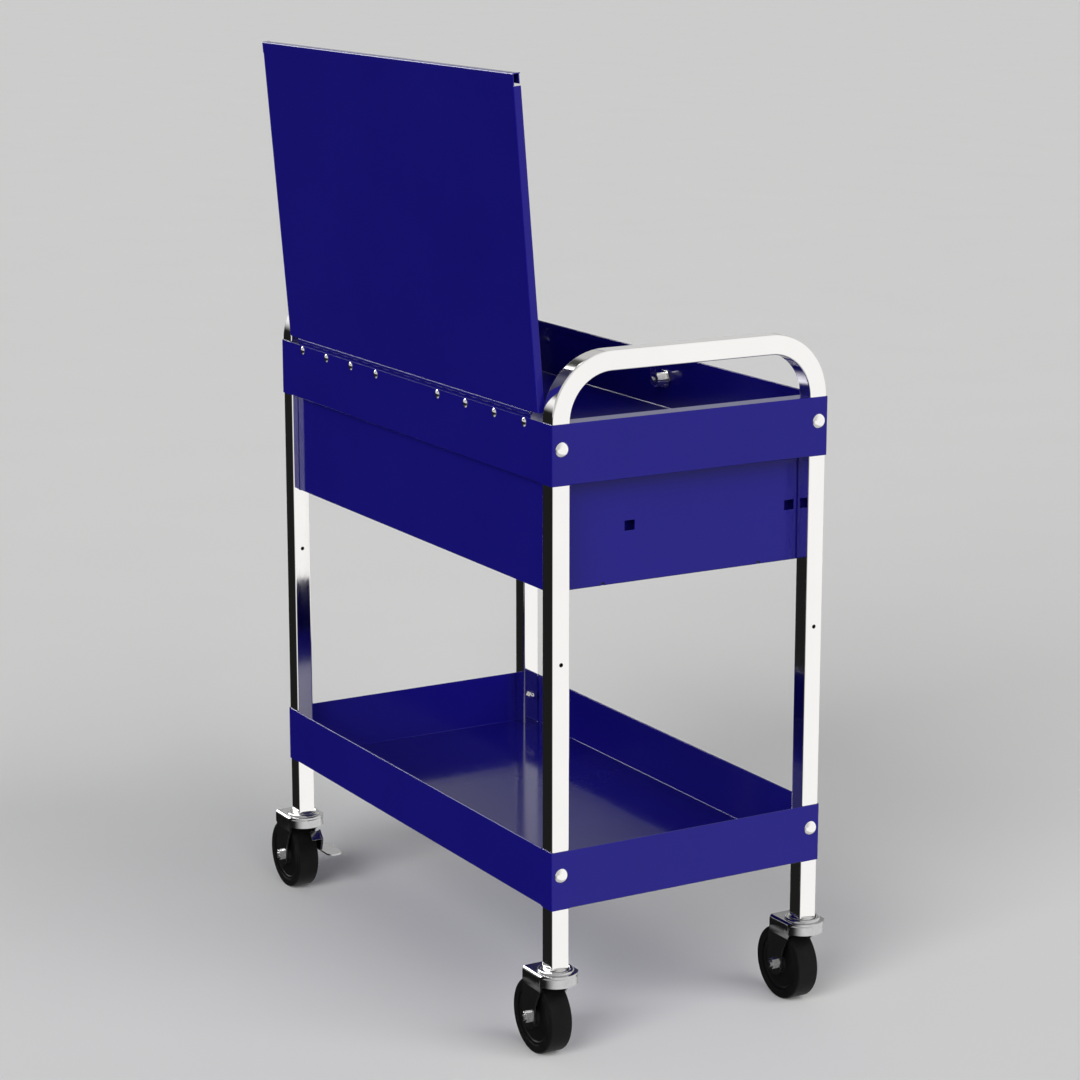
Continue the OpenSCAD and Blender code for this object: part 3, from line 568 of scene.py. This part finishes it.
def housing():
    """Drawer housing: one sheet bent round the sides and back, with a flange above and below."""
    mesh = bmesh.new()
    node = "drawer_housing"
    lowest, highest, front = low[node].z, high[node].z, low[node].y - centre.y
    wide, back = half_size(node).x - mid, high[node].y - mid - centre.y
    flange, flange_end = 18 * MM + mid, back - mid - 18.5 * MM
    holes, hole_size, hole_up = (back + mid - 116.2 * MM, front + 23.7 * MM), (15 * MM, 13 * MM), 73 * MM
    nicks, nick_size = (back + mid - 77.7 * MM, front + 70.2 * MM), (5 * MM, 4.5 * MM)
    hole_low, hole_high = (lowest + hole_up + end * hole_size[1] / 2 for end in (-1, 1))
    levels = [lowest + mid + fold, lowest + nick_size[1], hole_low, hole_high, highest - mid - fold]
    foot = [(flange, lowest + mid)] + bend(fold, levels[0], fold, 270, 180)
    head = bend(fold, levels[-1], fold, 180, 90) + [(flange, highest - mid)]
    along = [front, flange_end, flange_end + relief, back - corner_fold]
    for middles, width in ((holes, hole_size[0]), (nicks, nick_size[0])):
        along += [at + end * width / 2 for at in middles for end in (-1, 1)]
    along.sort()
    for side in (-1, 1):
        inward = Vector((-side, 0))
        for start, stop in zip(along, along[1:]):
            span = [Vector((side * wide, y)) for y in (start, stop)]
            at = (start + stop) / 2
            hole, nick = (any(abs(at - y) < 1 * MM for y in middles) for middles in (holes, nicks))
            if at < flange_end:
                folded(mesh, span, inward, foot[:2] if nick else foot)
                folded(mesh, span, inward, head)
            elif at > flange_end + relief:
                upright(mesh, span, (lowest, levels[0]))
                upright(mesh, span, (levels[-1], highest))
            for i, heights in enumerate(zip(levels, levels[1:])):
                if not (hole and i == 2) and not (nick and i == 0):
                    upright(mesh, span, heights)
        pivot = Vector((side * (wide - corner_fold), back - corner_fold))
        corner = [pivot + Vector((side * c, s)) for c, s in bend(0, 0, corner_fold, 0, 90)]
        for span in zip(corner, corner[1:]):
            upright(mesh, span, [lowest] + levels + [highest])
    stop = wide - corner_fold
    end = stop - 2 * MM
    across = (-stop, -end - relief, -end, end, end + relief, stop)
    for i, xs in enumerate(zip(across, across[1:])):
        span = [Vector((x, back)) for x in xs]
        upright(mesh, span, levels)
        if i == 2:
            folded(mesh, span, Vector((0, -1)), foot)
            folded(mesh, span, Vector((0, -1)), head)
        elif i in (0, 4):
            upright(mesh, span, (lowest, levels[0]))
            upright(mesh, span, (levels[-1], highest))
    obj = new_object(node + "_sheet", mesh, Matrix.Translation(centre))
    thicken(obj)
    complete(obj, node)


def lid_place():
    """Matrix from the closed lid, seen from its hinge, to the lid as it rests open."""
    lean = math.radians(joints["lid_hinge"]["range_deg"][1])
    return Matrix.Translation(joint_at["lid_hinge"]) @ Matrix.Rotation(-lean, 4, "X")


def lid():
    """Lid panel with short side flanges, a full front flange and its return lip."""
    mesh = bmesh.new()
    top, lip_under, lip = lid_rise - mid, -6.65 * MM, 14 * MM
    overhang, notch_length = 10.6 * MM, 15 * MM
    wide, front = half_size("lid_panel").x, axis_inset - 2 * wall.y - overhang
    back, notch = -3.63 * MM, front + notch_length
    side_fold, front_fold = wide - mid - fold, front + mid + fold
    ends = (-side_fold, side_fold)
    strip(mesh, [[Vector((x, y, top)) for x in (-wide, *ends, wide)] for y in (front_fold, notch)])
    strip(mesh, [[Vector((x, y, top)) for x in ends] for y in (notch, notch + relief, back)])
    flange = bend(side_fold, top - fold, fold, 90, 0) + [(wide - mid, lip_under)]
    for side in (-1, 1):
        strip(mesh, [[Vector((side * x, y, z)) for y in (notch + relief, back)] for x, z in flange])
    drop = bend(front_fold, top - fold, fold, 90, 180)
    plain = drop + [(front + mid, lip_under)]
    turn = bend(front_fold, lip_under + mid + fold, fold, 180, 270)
    lipped = drop + turn + [(front + lip - mid, lip_under + mid)]
    for xs, outline in (((-wide, -side_fold), plain), (ends, lipped), ((side_fold, wide), plain)):
        strip(mesh, [[Vector((x, y, z)) for x in xs] for y, z in outline])
    obj = new_object("lid_sheet", mesh, lid_place())
    thicken(obj)
    complete(obj, "lid_panel")


def end_frames():
    """Square tube bent into an upside down U: two legs and a handle bar."""
    for node in ("end_frame_near", "end_frame_far"):
        mesh = bmesh.new()
        path = arch(leg_y, low[node].z, high[node].z - tube / 2, handle_bend, 16)
        offset = X * (middle(node).x - centre.x)
        sections = ((tube, tube_corner), (tube - 2 * tube_wall, tube_corner - tube_wall))
        outer, inner = (
            sweep(mesh, rounded(size, size, corner), path, offset, X, Y, Z) for size, corner in sections
        )
        for end in (0, -1):
            strip(mesh, [outer[end], inner[end]], closed=True)
        obj = new_object(node + "_tube", mesh, Matrix.Translation(centre))
        for side in (-1, 1):
            bore(obj, leg_hole / 2, centre + offset + Vector((0, side * leg_y, leg_hole_z)), X, tube * 1.4)
        complete(obj, node, 28)


# Fasteners and other repeated forms, placed by Geometry Nodes


class PlacingTree(NodeTree):
    """Geometry Nodes tree being built, with its inputs by name."""

    def __init__(self, name, **kinds):
        self.tree = bpy.data.node_groups.new(name, "GeometryNodeTree")
        new_socket = self.tree.interface.new_socket
        for key, kind in {"Geometry": "Geometry", **kinds}.items():
            new_socket(key.replace("_", " "), in_out="INPUT", socket_type="NodeSocket" + kind)
        new_socket("Geometry", in_out="OUTPUT", socket_type="NodeSocketGeometry")
        self.inputs = self.add("NodeGroupInput").outputs
        self.output = self.add("NodeGroupOutput")

    def form(self):
        """Geometry of the tree's input named Form."""
        return self.add("GeometryNodeObjectInfo", {"Object": self.inputs["Form"]}).outputs["Geometry"]

    def place(self, places, form, **more):
        """A form on each of the places."""
        inputs = {"Points": places, "Instance": form, **more}
        return self.add("GeometryNodeInstanceOnPoints", inputs).outputs[0]

    def close(self, geometry, material):
        """Ends the tree with real geometry in its material."""
        real = self.add("GeometryNodeRealizeInstances", {0: geometry}).outputs[0]
        dressed = self.add("GeometryNodeSetMaterial", {0: real, "Material": material})
        self.put(dressed.outputs[0], self.output.inputs[0])
        return self

    def grow(self, obj, **inputs):
        """Runs the tree on an object and keeps the result as its plain mesh."""
        grown = obj.modifiers.new(self.tree.name, "NODES")
        grown.node_group = self.tree
        for item in self.tree.interface.items_tree:
            key = item.name.replace(" ", "_")
            if item.in_out == "INPUT" and key in inputs:
                grown[item.identifier] = inputs[key]
        settle(obj)


def facing_tree(name, material):
    """Puts a form on each point of a mesh, turned from z to the way the point faces."""
    tree = PlacingTree(name, Form="Object")
    facing = tree.add("GeometryNodeInputNamedAttribute", {"Name": "facing"}, data_type="FLOAT_VECTOR")
    turn = tree.add("FunctionNodeAlignRotationToVector", {"Vector": facing.outputs[0]}, axis="Z")
    return tree.close(tree.place(tree.inputs["Geometry"], tree.form(), Rotation=turn.outputs[0]), material)


def row_tree(name, material):
    """Adds a row of one form along x to a mesh, every pitch from a start."""
    tree = PlacingTree(name, Form="Object", Count="Int", Start="Float", Pitch="Float")
    start, pitch = (
        tree.add("ShaderNodeCombineXYZ", {"X": tree.inputs[key]}).outputs[0] for key in ("Start", "Pitch")
    )
    places = {"Count": tree.inputs["Count"], "Start Location": start, "Offset": pitch}
    row = tree.place(tree.add("GeometryNodeMeshLine", places).outputs[0], tree.form())
    both = tree.add("GeometryNodeJoinGeometry")
    for geometry in (row, tree.inputs["Geometry"]):
        tree.put(geometry, both.inputs[0])
    return tree.close(both.outputs[0], material)


def ring_tree(name, material):
    """Puts a ring of balls round each point of a mesh."""
    tree = PlacingTree(name, Balls="Int", Ring_radius="Float", Ball_radius="Float")
    circle_size = {"Vertices": tree.inputs["Balls"], "Radius": tree.inputs["Ring radius"]}
    circle = tree.add("GeometryNodeMeshCircle", circle_size).outputs[0]
    ball_size = {"Segments": 16, "Rings": 8, "Radius": tree.inputs["Ball radius"]}
    ball = tree.add("GeometryNodeMeshUVSphere", ball_size).outputs[0]
    rings = tree.place(tree.inputs["Geometry"], tree.place(circle, ball))
    return tree.close(tree.add("GeometryNodeSetShadeSmooth", {"Geometry": rings}).outputs[0], material)


def points(name, places, facing=()):
    """Bare points of a mesh, each with the way it faces."""
    data = bpy.data.meshes.new(name)
    data.from_pydata([tuple(place) for place in places], [], [])
    if facing:
        ways = data.attributes.new("facing", "FLOAT_VECTOR", "POINT")
        ways.data.foreach_set("vector", [value for way in facing for value in way])
    return add_object(name, data)


def form_of(name, build, edge=0, **sizes):
    """One form built at the origin, ready to be repeated."""
    mesh = bmesh.new()
    build(mesh, **sizes)
    obj = new_object(name, mesh)
    if edge:
        ease(obj, edge)
    smoothed(obj, 30)
    return obj


def repeat(name, node, form, places, facing):
    """Fasteners of one kind on all their places, standing for their node."""
    obj = points(name, places, facing)
    facing_tree(name + "_places", finish[slot_of[node]]).grow(obj, Form=form)
    bpy.data.objects.remove(form)
    stand_for(obj, node)


def tray_fasteners():
    """Round head bolts through the tray ends and legs, with cap nuts inside."""
    drop, past_tube = 31 * MM, 9 * MM
    places, ways = [], []
    for node in ("upper_tray", "lower_tray"):
        for side in (-1, 1):
            for end in (-1, 1):
                places.append(centre + Vector((side * wall.x, end * leg_y, high[node].z - drop)))
                ways.append(side * X)
    radius, rise, rim, flatness = 9.3 * MM, 4 * MM, 0.6 * MM, 3.6
    crown = [(radius, 0), (radius, rim)]
    for i in range(15, -1, -1):
        crown.append((radius * i / 16, rim + (rise - rim) * (1 - (i / 16) ** flatness)))
    head = form_of("bolt_form", headed, crown=crown, shaft=3 * MM, length=sheet + tube + past_tube)
    repeat("tray_bolt_set", "tray_bolts", head, places, ways)

    def cap_nut(mesh):
        flats, height, ball = 11 * MM, 5.5 * MM, 4.7 * MM
        prism(mesh, bend(0, 0, flats / math.sqrt(3), 30, 330), 0, height)
        lathe(mesh, [(0, height - 1 * MM)] + bend(0, height, ball, 0, 90, 8), 36)

    nut = form_of("cap_nut_form", cap_nut, edge=0.35 * MM)
    back = [place - way * (sheet + tube) for place, way in zip(places, ways)]
    repeat("cap_nut_set", "cap_nuts", nut, back, [-way for way in ways])


def hinge_rivets():
    """Rivets that hold the hinge to the tray's back wall, four on each side."""
    first, pitch, drop = 87.5 * MM, 75 * MM, 6.7 * MM
    along = [side * (first + i * pitch) for side in (-1, 1) for i in range(4)]
    places = [centre + Vector((x, wall.y, high["upper_tray"].z - drop)) for x in along]

    def rivet(mesh):
        grip, shaft = 2.2 * MM, 2 * MM
        inner = [(x, -grip - z) for x, z in dome(4.6 * MM, 1.25 * MM)][::-1]
        lathe(mesh, inner + [(shaft, -grip), (shaft, 0)] + dome(5.6 * MM, 2.5 * MM, 0.3 * MM), 32)

    repeat("hinge_rivet_set", "hinge_rivets", form_of("rivet_form", rivet), places, [Y] * 8)


def screw_form(name):
    """Round head screw, ready to be repeated."""
    crown = dome(screw_head, 3.2 * MM, 0.3 * MM)
    return form_of(name, headed, crown=crown, shaft=2 * MM, length=screw_length)


def housing_screws():
    """Screws down through the tray's floor into the housing, up under its back and into the back legs."""
    box = half_size("drawer_housing")
    bottom, back = low["drawer_housing"].z, high["drawer_housing"].y - centre.y
    tray_depth, in_flange = 76.2 * MM, sheet + 9 * MM
    seat = high["upper_tray"].z - tray_depth + sheet
    row_y, back_x = leg_y - 59.3 * MM, box.x - 154.4 * MM
    under_x, under_y = box.x - 54.4 * MM, back - 12 * MM
    places, ways = [], []
    for side in (-1, 1):
        places += [(side * (box.x - in_flange), row * row_y, seat) for row in (-1, 0, 1)]
        places.append((side * back_x, back - in_flange, seat))
        places.append((side * under_x, under_y, bottom))
        places.append((side * leg_x, leg_y - tube / 2, bottom))
        ways += [Z] * 4 + [-Z, -Y]
    places = [centre + Vector(place) for place in places]
    repeat("housing_screw_set", "housing_screws", screw_form("housing_screw_form"), places, ways)


def hinge():
    """Long hinge: two leaves with their rows of knuckles, and the pin."""
    count, length = 43, half_size("hinge_pin").x * 2
    pitch, axis = length / count, joint_at["lid_hinge"]
    at = Matrix.Translation((centre.x, axis.y, axis.z))
    leaf, edge, tray_width, lid_width = 1 * MM, 3.4 * MM, 23 * MM, 22 * MM
    pin, hole, knuckle_radius, gap, flap_gap = 1.5 * MM, 1.55 * MM, 3 * MM, 0.35 * MM, 1.05 * MM
    flap_start, flap_end = -1.9 * MM, -edge - 1 * MM
    along_x = Matrix.Rotation(math.radians(90), 4, "Y")

    def slab(mesh, corners, half):
        (y0, z0), (y1, z1) = corners
        stand = Matrix(((0, 0, 1, 0), (1, 0, 0, 0), (0, 1, 0, 0), (0, 0, 0, 1)))
        prism(mesh, [(y0, z0), (y1, z0), (y1, z1), (y0, z1)], -half, half, stand)

    def knuckle(mesh, flap):
        half = (pitch - gap) / 2
        outline = [(hole, -half), (knuckle_radius, -half), (knuckle_radius, half), (hole, half)]
        ring(mesh, outline, 28, along_x)
        slab(mesh, flap, (pitch - flap_gap) / 2)

    def leaf_piece(node, first, number, plate, flap, place):
        mesh = bmesh.new()
        slab(mesh, plate, length / 2)
        obj = new_object(node + "_piece", mesh)
        ease(obj, 0.25 * MM)
        smoothed(obj)
        form = form_of(node + "_knuckle", knuckle, edge=0.18 * MM, flap=flap)
        start = (first + 0.5) * pitch - length / 2
        row = row_tree(node + "_row", finish[slot_of[node]])
        row.grow(obj, Form=form, Count=number, Start=start, Pitch=2 * pitch)
        bpy.data.objects.remove(form)
        obj.data.transform(place)
        stand_for(obj, node)

    face, under = axis_inset - sheet, lid_rise - sheet
    spans = ((-tray_width, -edge), (flap_end, flap_start))
    plate, flap = (((face - leaf, start), (face, stop)) for start, stop in spans)
    leaf_piece("tray_hinge_leaf", 0, 22, plate, flap, at)
    spans = ((-lid_width, -edge), (flap_end, flap_start))
    plate, flap = (((start, under - leaf), (stop, under)) for start, stop in spans)
    place = lid_place() @ Matrix.Translation((centre.x - axis.x, 0, 0))
    leaf_piece("lid_hinge_leaf", 1, 21, plate, flap, place)

    mesh = bmesh.new()
    end, bevel = length / 2, 0.3 * MM
    outline = [(0, end), (pin - bevel, end), (pin, end - bevel)]
    lathe(mesh, mirrored(outline)[::-1], 24, at @ along_x)
    complete(new_object("hinge_pin_piece", mesh), "hinge_pin", 30)


def swivel_balls():
    """Ring of bearing balls under each caster's cap."""
    up = middle("swivel_balls").z
    obj = points("swivel_ball_rings", [(*joint_at[f"swivel_{n}"].xy, up) for n in (1, 2, 3, 4)])
    tree = ring_tree("Ball ring", finish[slot_of["swivel_balls"]])
    tree.grow(obj, Balls=16, Ring_radius=12 * MM, Ball_radius=1.6 * MM)
    stand_for(obj, "swivel_balls")


# Drawer


def lipped_box(half, rows):
    """Open box of rounded rectangles from (inward, height, corner radius) rows; the last is filled."""
    mesh = bmesh.new()
    loops = []
    for inward, up, radius in rows:
        outline = rounded(2 * (half[0] - inward), 2 * (half[1] - inward), max(radius, 1e-6))
        loops.append([Vector((x, y, up)) for x, y in outline])
    strip(mesh, loops, closed=True)
    mesh.faces.new([mesh.verts.new(point) for point in loops[-1]])
    return mesh


def drawer_box():
    """Open sheet box with folded edges and corners."""
    turn = 1.8 * MM
    size, at = half_size("drawer_box"), middle("drawer_box")
    floor = low["drawer_box"].z + box_sheet / 2
    rows = [(0, high["drawer_box"].z, turn)]
    rows += [(turn - c, floor + turn - s, c) for c, s in bend(0, 0, turn, 0, 90)]
    mesh = lipped_box((size.x - box_sheet / 2, size.y - box_sheet / 2), rows)
    obj = new_object("drawer_box_sheet", mesh, Matrix.Translation((at.x, at.y, 0)))
    thicken(obj, box_sheet)
    complete(obj, "drawer_box")


def drawer_front():
    """Folded drawer front with a lip all round its back, cut out round the lock."""
    node, turn, lip = "drawer_front", 2 * MM, 22 * MM
    size, at = half_size(node), middle(node)
    deep = 2 * size.y - mid
    rows = [(lip, deep, 1 * MM)]
    rows += [(turn - c, deep - turn + s, c) for c, s in bend(0, 0, turn, 90, 0)]
    rows += [(turn - c, mid + turn - s, c) for c, s in bend(0, 0, turn, 0, 90)]
    mesh = lipped_box((size.x - mid, size.z - mid), rows)
    upright_turn = Matrix.Rotation(math.radians(-90), 4, "X")
    place = Matrix.Translation((at.x, low[node].y, at.z)) @ upright_turn
    obj = new_object(node + "_sheet", mesh, place)
    thicken(obj)
    lock_bore(obj, node, "drawer_lock_barrel")
    cutter = bmesh.new()
    middle_x, middle_z, reach = middle("drawer_lock_barrel").x, middle("drawer_lock_barrel").z, 24 * MM
    notch = [(middle_x + reach * x, reach * y - middle_z) for x, y in ((-1, -1), (1, -1), (1, 1), (-1, 1))]
    prism(cutter, notch, high[node].y - 2 * sheet, high[node].y + sheet, upright_turn)
    carve(obj, cutter, "notch")
    complete(obj, node)


def drawer_pull():
    """Round bar bent into a pull, with its two feet on the drawer front."""
    mesh = bmesh.new()
    size, at = half_size("drawer_pull"), middle("drawer_pull")
    path = arch(size.x - pull_radius, 0, 2 * size.y - pull_radius, 11 * MM, 8)
    rows = sweep(mesh, bend(0, 0, pull_radius, 0, 345, 23), path, Vector(), Z, X, -Y)
    for row in (rows[0], rows[-1]):
        mesh.faces.new([mesh.verts.new(point) for point in row])
    obj = new_object("drawer_pull_bar", mesh, Matrix.Translation((at.x, high["drawer_pull"].y, at.z)))
    complete(obj, "drawer_pull")


def drawer_screws():
    """Screws that hold the box and the pull to the drawer front."""
    seat, base = low["drawer_box"].y + box_sheet, low["drawer_box"].z
    across = half_size("drawer_screws").x - screw_head
    span = half_size("drawer_pull").x - pull_radius
    up, inside = middle("drawer_pull").z, low["drawer_front"].y + sheet
    places = [(side * across, seat, base + row) for side in (-1, 1) for row in (26 * MM, 66 * MM)]
    places += [(side * span, inside, up) for side in (-1, 1)]
    places = [Vector((centre.x + x, y, z)) for x, y, z in places]
    repeat("drawer_screw_set", "drawer_screws", screw_form("drawer_screw_form"), places, [Y] * 6)


# Locks, given in millimetres from the panel's front face, with the back on the minus side


def lock_barrel(node, place):
    """Threaded barrel with a round collar that holds the plug's face."""
    bore_radius, thread, root, collar, pocket, back = 5.5, 9.2, 8.95, 11, 7.65, -21.2
    mesh = bmesh.new()
    outline = [(bore_radius, back), (thread - 0.5, back), (thread, back + 0.5)]
    for turn in range(15):
        outline += [(root, back + 1 + turn), (thread, back + 1.5 + turn)]
    outline += [(thread, 0), (collar, 0), (collar, 1.3), (collar - 0.2, 1.9), (collar - 0.6, 2.3)]
    outline += [(9.8, 2.5), (pocket, 2.5), (pocket, 0.95), (bore_radius, 0.95)]
    ring(mesh, in_mm(outline), 48, place)
    complete(new_object(node + "_piece", mesh), node, 24)


def lock_plug(node, place):
    """Plug with its key slot in front, and the square and the screw that hold the cam behind."""
    back, cam_face, screw_end = -21.2, -23.75, -25.95
    mesh = bmesh.new()
    outline = [(0, back), (5.45, back), (5.45, 1), (7.6, 1), (7.6, 2.2), (7.3, 2.5), (0, 2.5)]
    lathe(mesh, in_mm(outline), 48, place)
    face = new_object(node + "_face", mesh)
    key = bmesh.new()
    slot = rounded(1.6 * MM, 7 * MM, 0.4 * MM, 3)
    prism(key, slot, -1.5 * MM, 4 * MM, place)
    carve(face, key, "key")
    mesh = bmesh.new()
    square = rounded(6 * MM, 6 * MM, 0.3 * MM, 2)
    prism(mesh, square, cam_face * MM, -20 * MM, place)
    head = [(0, screw_end), (4.2, screw_end), (4.5, screw_end + 0.55), (4.5, cam_face), (0, cam_face)]
    lathe(mesh, in_mm(head), 32, place)
    mesh.from_mesh(face.data)
    bpy.data.objects.remove(face)
    complete(new_object(node + "_piece", mesh), node, 28)


def locks():
    """Two cam locks: one in the upper tray's front wall and one in the drawer front."""
    for name in ("lid_lock", "drawer_lock"):
        barrel = name + "_barrel"
        front = low[barrel].y + 2.5 * MM
        place = turned(Vector((middle(barrel).x, front, middle(barrel).z)), -Y)
        lock_barrel(barrel, place)
        lock_plug(name + "_plug", place)
        dress(name + "_nut", 0.3 * MM)
        dress(name + "_cam", 0.35 * MM)


# Casters, with outlines in millimetres as (radius, height or half width)


def caster_stem(number):
    """Stem with its bearing cap above the fork and its washer below."""
    shank, shank_top, washer, washer_low, washer_high, bevel = 5.5, 156, 12, 114.65, 116.65, 0.3
    race, groove, cap_low, groove_up, cap_top = 12, 1.65, 119.85, 121.15, 124
    outline = [(0, 110.5), (shank - 0.4, 110.5), (shank, 110.9), (shank, washer_low)]
    outline += [(washer - bevel, washer_low), (washer, washer_low + bevel), (washer, washer_high - bevel)]
    outline += [(washer - bevel, washer_high), (shank, washer_high), (shank, cap_low)]
    outline += [(race - groove, cap_low), (race - groove, groove_up)]
    outline += bend(race, groove_up, groove, 150, 30, 4)
    outline += [(race + groove, groove_up), (race + groove, cap_low), (16.4, cap_low), (16.8, 120.25)]
    outline += [(16.8, 122.1), (16.6, 122.7), (16.1, 123.1), (14.9, 123.3), (14.2, 123.6), (13.8, cap_top)]
    outline += [(shank, cap_top), (shank, shank_top - 0.5), (shank - 0.5, shank_top), (0, shank_top)]
    mesh = bmesh.new()
    lathe(mesh, in_mm(outline), 48)
    node = f"caster_{number}_stem"
    at = joint_at[f"swivel_{number}"]
    complete(new_object(node + "_piece", mesh, Matrix.Translation((at.x, at.y, 0))), node, 26)


def wheel_outline():
    """Half of the moulded wheel's outline: hub, web and rim."""
    hub, web, rim = 18.65, 12.0, 13.5
    half = [(4.05, hub), (11.4, hub), (12.3, hub - 0.5), (12.8, hub - 1.4)]
    half += [(13.2, web + 2.2), (14.2, web + 0.7), (16, web), (32.6, web), (33.6, web + 0.4)]
    return half + [(34.2, rim - 0.5), (34.8, rim), (37.6, rim), (38, rim - 0.4)]


def tyre_outline():
    """Half of the rubber tyre's outline, with its rounded tread edge."""
    wide, inner, outer, turn = 15.5, 38.05, 49.5, 2.5
    half = [(inner, wide - 1.6), (inner + 0.5, wide - 0.5), (inner + 1.6, wide)]
    return half + bend(outer - turn, wide - turn, turn, 90, 0, 8)


def casters():
    """Four swivel casters; the far two have brakes."""
    for number in (1, 2, 3, 4):
        caster_stem(number)
        place = turned(joint_at[f"wheel_{number}_spin"], Y)
        for name, outline, segments in (("wheel", wheel_outline(), 72), ("tyre", tyre_outline(), 96)):
            mesh = bmesh.new()
            ring(mesh, in_mm(mirrored(outline)), segments, place)
            node = f"caster_{number}_{name}"
            complete(new_object(node + "_piece", mesh), node, 28)
        dress(f"caster_{number}_fork", 0.6 * MM)
        dress(f"caster_{number}_axle", 0.35 * MM)
    for number in (3, 4):
        dress(f"brake_{number}_lever", 0.5 * MM)
        dress(f"brake_{number}_rivet", 0.2 * MM)
    dress("stem_sockets", 0.3 * MM)


def slides_and_brackets():
    """Drawer slides, lock rail and lid catch."""
    for end in ("near", "far"):
        for member in ("outer", "middle", "inner"):
            dress(f"slide_{member}_{end}", 0.35 * MM)
    dress("lock_rail", 0.4 * MM)
    dress("lid_catch", 0.4 * MM)


# Studio


def studio_floor():
    """Wide pale floor that takes the shadow; metal and gloss see the world's light through it."""
    bpy.ops.mesh.primitive_plane_add(size=300, location=(0, 0, 0))
    floor = bpy.context.object
    floor.name = "studio_floor"
    ground = Surface("Pale studio floor", Roughness=0.95, Specular_IOR_Level=0.0)
    ground.set("Base Color", ground.ramp(ground.noise(3), (0.3, (0.78,) * 3), (0.7, (0.79,) * 3)))
    glossy = ground.add("ShaderNodeLightPath").outputs["Is Glossy Ray"]
    clear = ground.add("ShaderNodeBsdfTransparent").outputs[0]
    both = ground.add("ShaderNodeMixShader", {0: glossy, 1: ground.principled.outputs[0], 2: clear})
    ground.put(both.outputs[0], ground.tree.nodes["Material Output"].inputs["Surface"])
    floor.data.materials.append(ground.material)


class World(ShaderTree):
    """The world's tree, built with the same helpers as a material."""

    def __init__(self, name):
        self.world = bpy.data.worlds.new(name)
        self.world.use_nodes = True
        self.tree = self.world.node_tree


def mirrored_room(sky):
    """Soft studio that metal and gloss reflect: pale in front, dark behind, with a panel above."""
    way = sky.add("ShaderNodeTexCoord").outputs["Generated"]
    ahead, across, up = (sky.dot(way, axis) for axis in (X, Y, Z))
    pale = sky.step(sky.dot(way, (-0.866, -0.5, 0)), -0.4, 0.6, 0.013, 1.0)
    customer = sky.step(sky.dot(way, (0.3, -0.954, 0)), 0.35, 0.9, 0, 0.5)
    ground = sky.math("MAXIMUM", pale, customer)
    ground = sky.mix(sky.step(up, -0.8, -0.5, 1, 0), ground, (0.55,) * 3)
    band = sky.math("MULTIPLY", sky.step(up, -0.02, 0.15, 0, 1), sky.step(up, 0.18, 0.27, 1, 0.12))
    back = sky.mix(band, (0.016, 0.015, 0.014), (1, 0.98, 0.95))
    rise = sky.step(sky.dot(way, (0, 0.57, 1)), 0.025, 0.05, 0.09, 0.55)
    beyond = sky.mix(sky.step(up, 0.27, 0.29, 0, 1), (0.64, 0.63, 0.62), rise)
    far = sky.mix(sky.step(across, -0.1, 0.12, 0, 1), beyond, back)
    gap = sky.step(sky.math("ABSOLUTE", sky.math("ADD", across, 0.07)), 0.03, 0.14, 0.12, 1)
    panel = sky.math("MULTIPLY", sky.step(up, 0.28, 0.34, 0, 16), sky.step(across, 0, 0.28, 0, 1))
    panel = sky.math("MULTIPLY", panel, sky.step(across, 0.34, 0.42, 1, 0))
    lit = sky.math("ADD", sky.math("MULTIPLY", far, gap), panel)
    near = sky.step(sky.dot(way, (-0.3, -0.954, 0)), -0.3, 0.8, 0.6, 1.0)
    above = sky.mix(sky.step(ahead, 0.3, 0.6, 0, 1), near, lit)
    return sky.mix(sky.step(up, -0.04, 0.02, 0, 1), ground, above)


def sun(name, way, energy, spread, colour=(1, 1, 1)):
    """Soft distant lamp that shines from a direction."""
    data = bpy.data.lights.new(name, "SUN")
    data.energy, data.angle, data.color = energy, math.radians(spread), colour
    lamp = add_object(name, data)
    lamp.rotation_euler = Vector(way).to_track_quat("Z", "Y").to_euler()
    lamp.visible_glossy = False


def studio_light():
    """Even world light with a pale backdrop for the camera, a soft key lamp and a soft fill."""
    sky = World("Plain studio")
    bpy.context.scene.world = sky.world
    light = sky.tree.nodes["Background"]
    sky.put((0.97, 0.985, 1.0), light.inputs["Color"])
    sky.put(0.2, light.inputs["Strength"])
    rays = sky.add("ShaderNodeLightPath").outputs
    for kind, colour in (("Is Camera Ray", (0.66,) * 3), ("Is Glossy Ray", mirrored_room(sky))):
        seen = sky.add("ShaderNodeBackground", {"Color": colour, "Strength": 1.0})
        light = sky.add("ShaderNodeMixShader", {0: rays[kind], 1: light.outputs[0], 2: seen.outputs[0]})
    sky.put(light.outputs[0], sky.tree.nodes["World Output"].inputs["Surface"])
    sun("key_lamp", (-0.85, -0.25, 0.45), 2.0, 60, (1.0, 0.985, 0.965))
    sun("fill_lamp", (-0.48, 0.75, 0.45), 2.0, 36)


def camera():
    """Camera at the photo's place, with its lens and direction."""
    data = bpy.data.cameras.new("Camera")
    data.lens, data.sensor_width, data.clip_end = 100, 36, 300
    seat = add_object("Camera", data)
    seat.location = Vector((-3.4527, 1.9945, 1.4961)) + centre
    yaw, pitch = -0.523853, -0.225325
    look = Vector((math.cos(pitch) * math.cos(yaw), math.cos(pitch) * math.sin(yaw), math.sin(pitch)))
    seat.rotation_euler = look.to_track_quat("-Z", "Y").to_euler()
    bpy.context.scene.camera = seat
    bpy.context.scene.view_settings.view_transform = "Standard"


trays()
housing()
lid()
end_frames()
tray_fasteners()
hinge_rivets()
housing_screws()
hinge()
swivel_balls()
drawer_box()
drawer_front()
drawer_pull()
drawer_screws()
locks()
casters()
slides_and_brackets()
studio_floor()
studio_light()
camera()
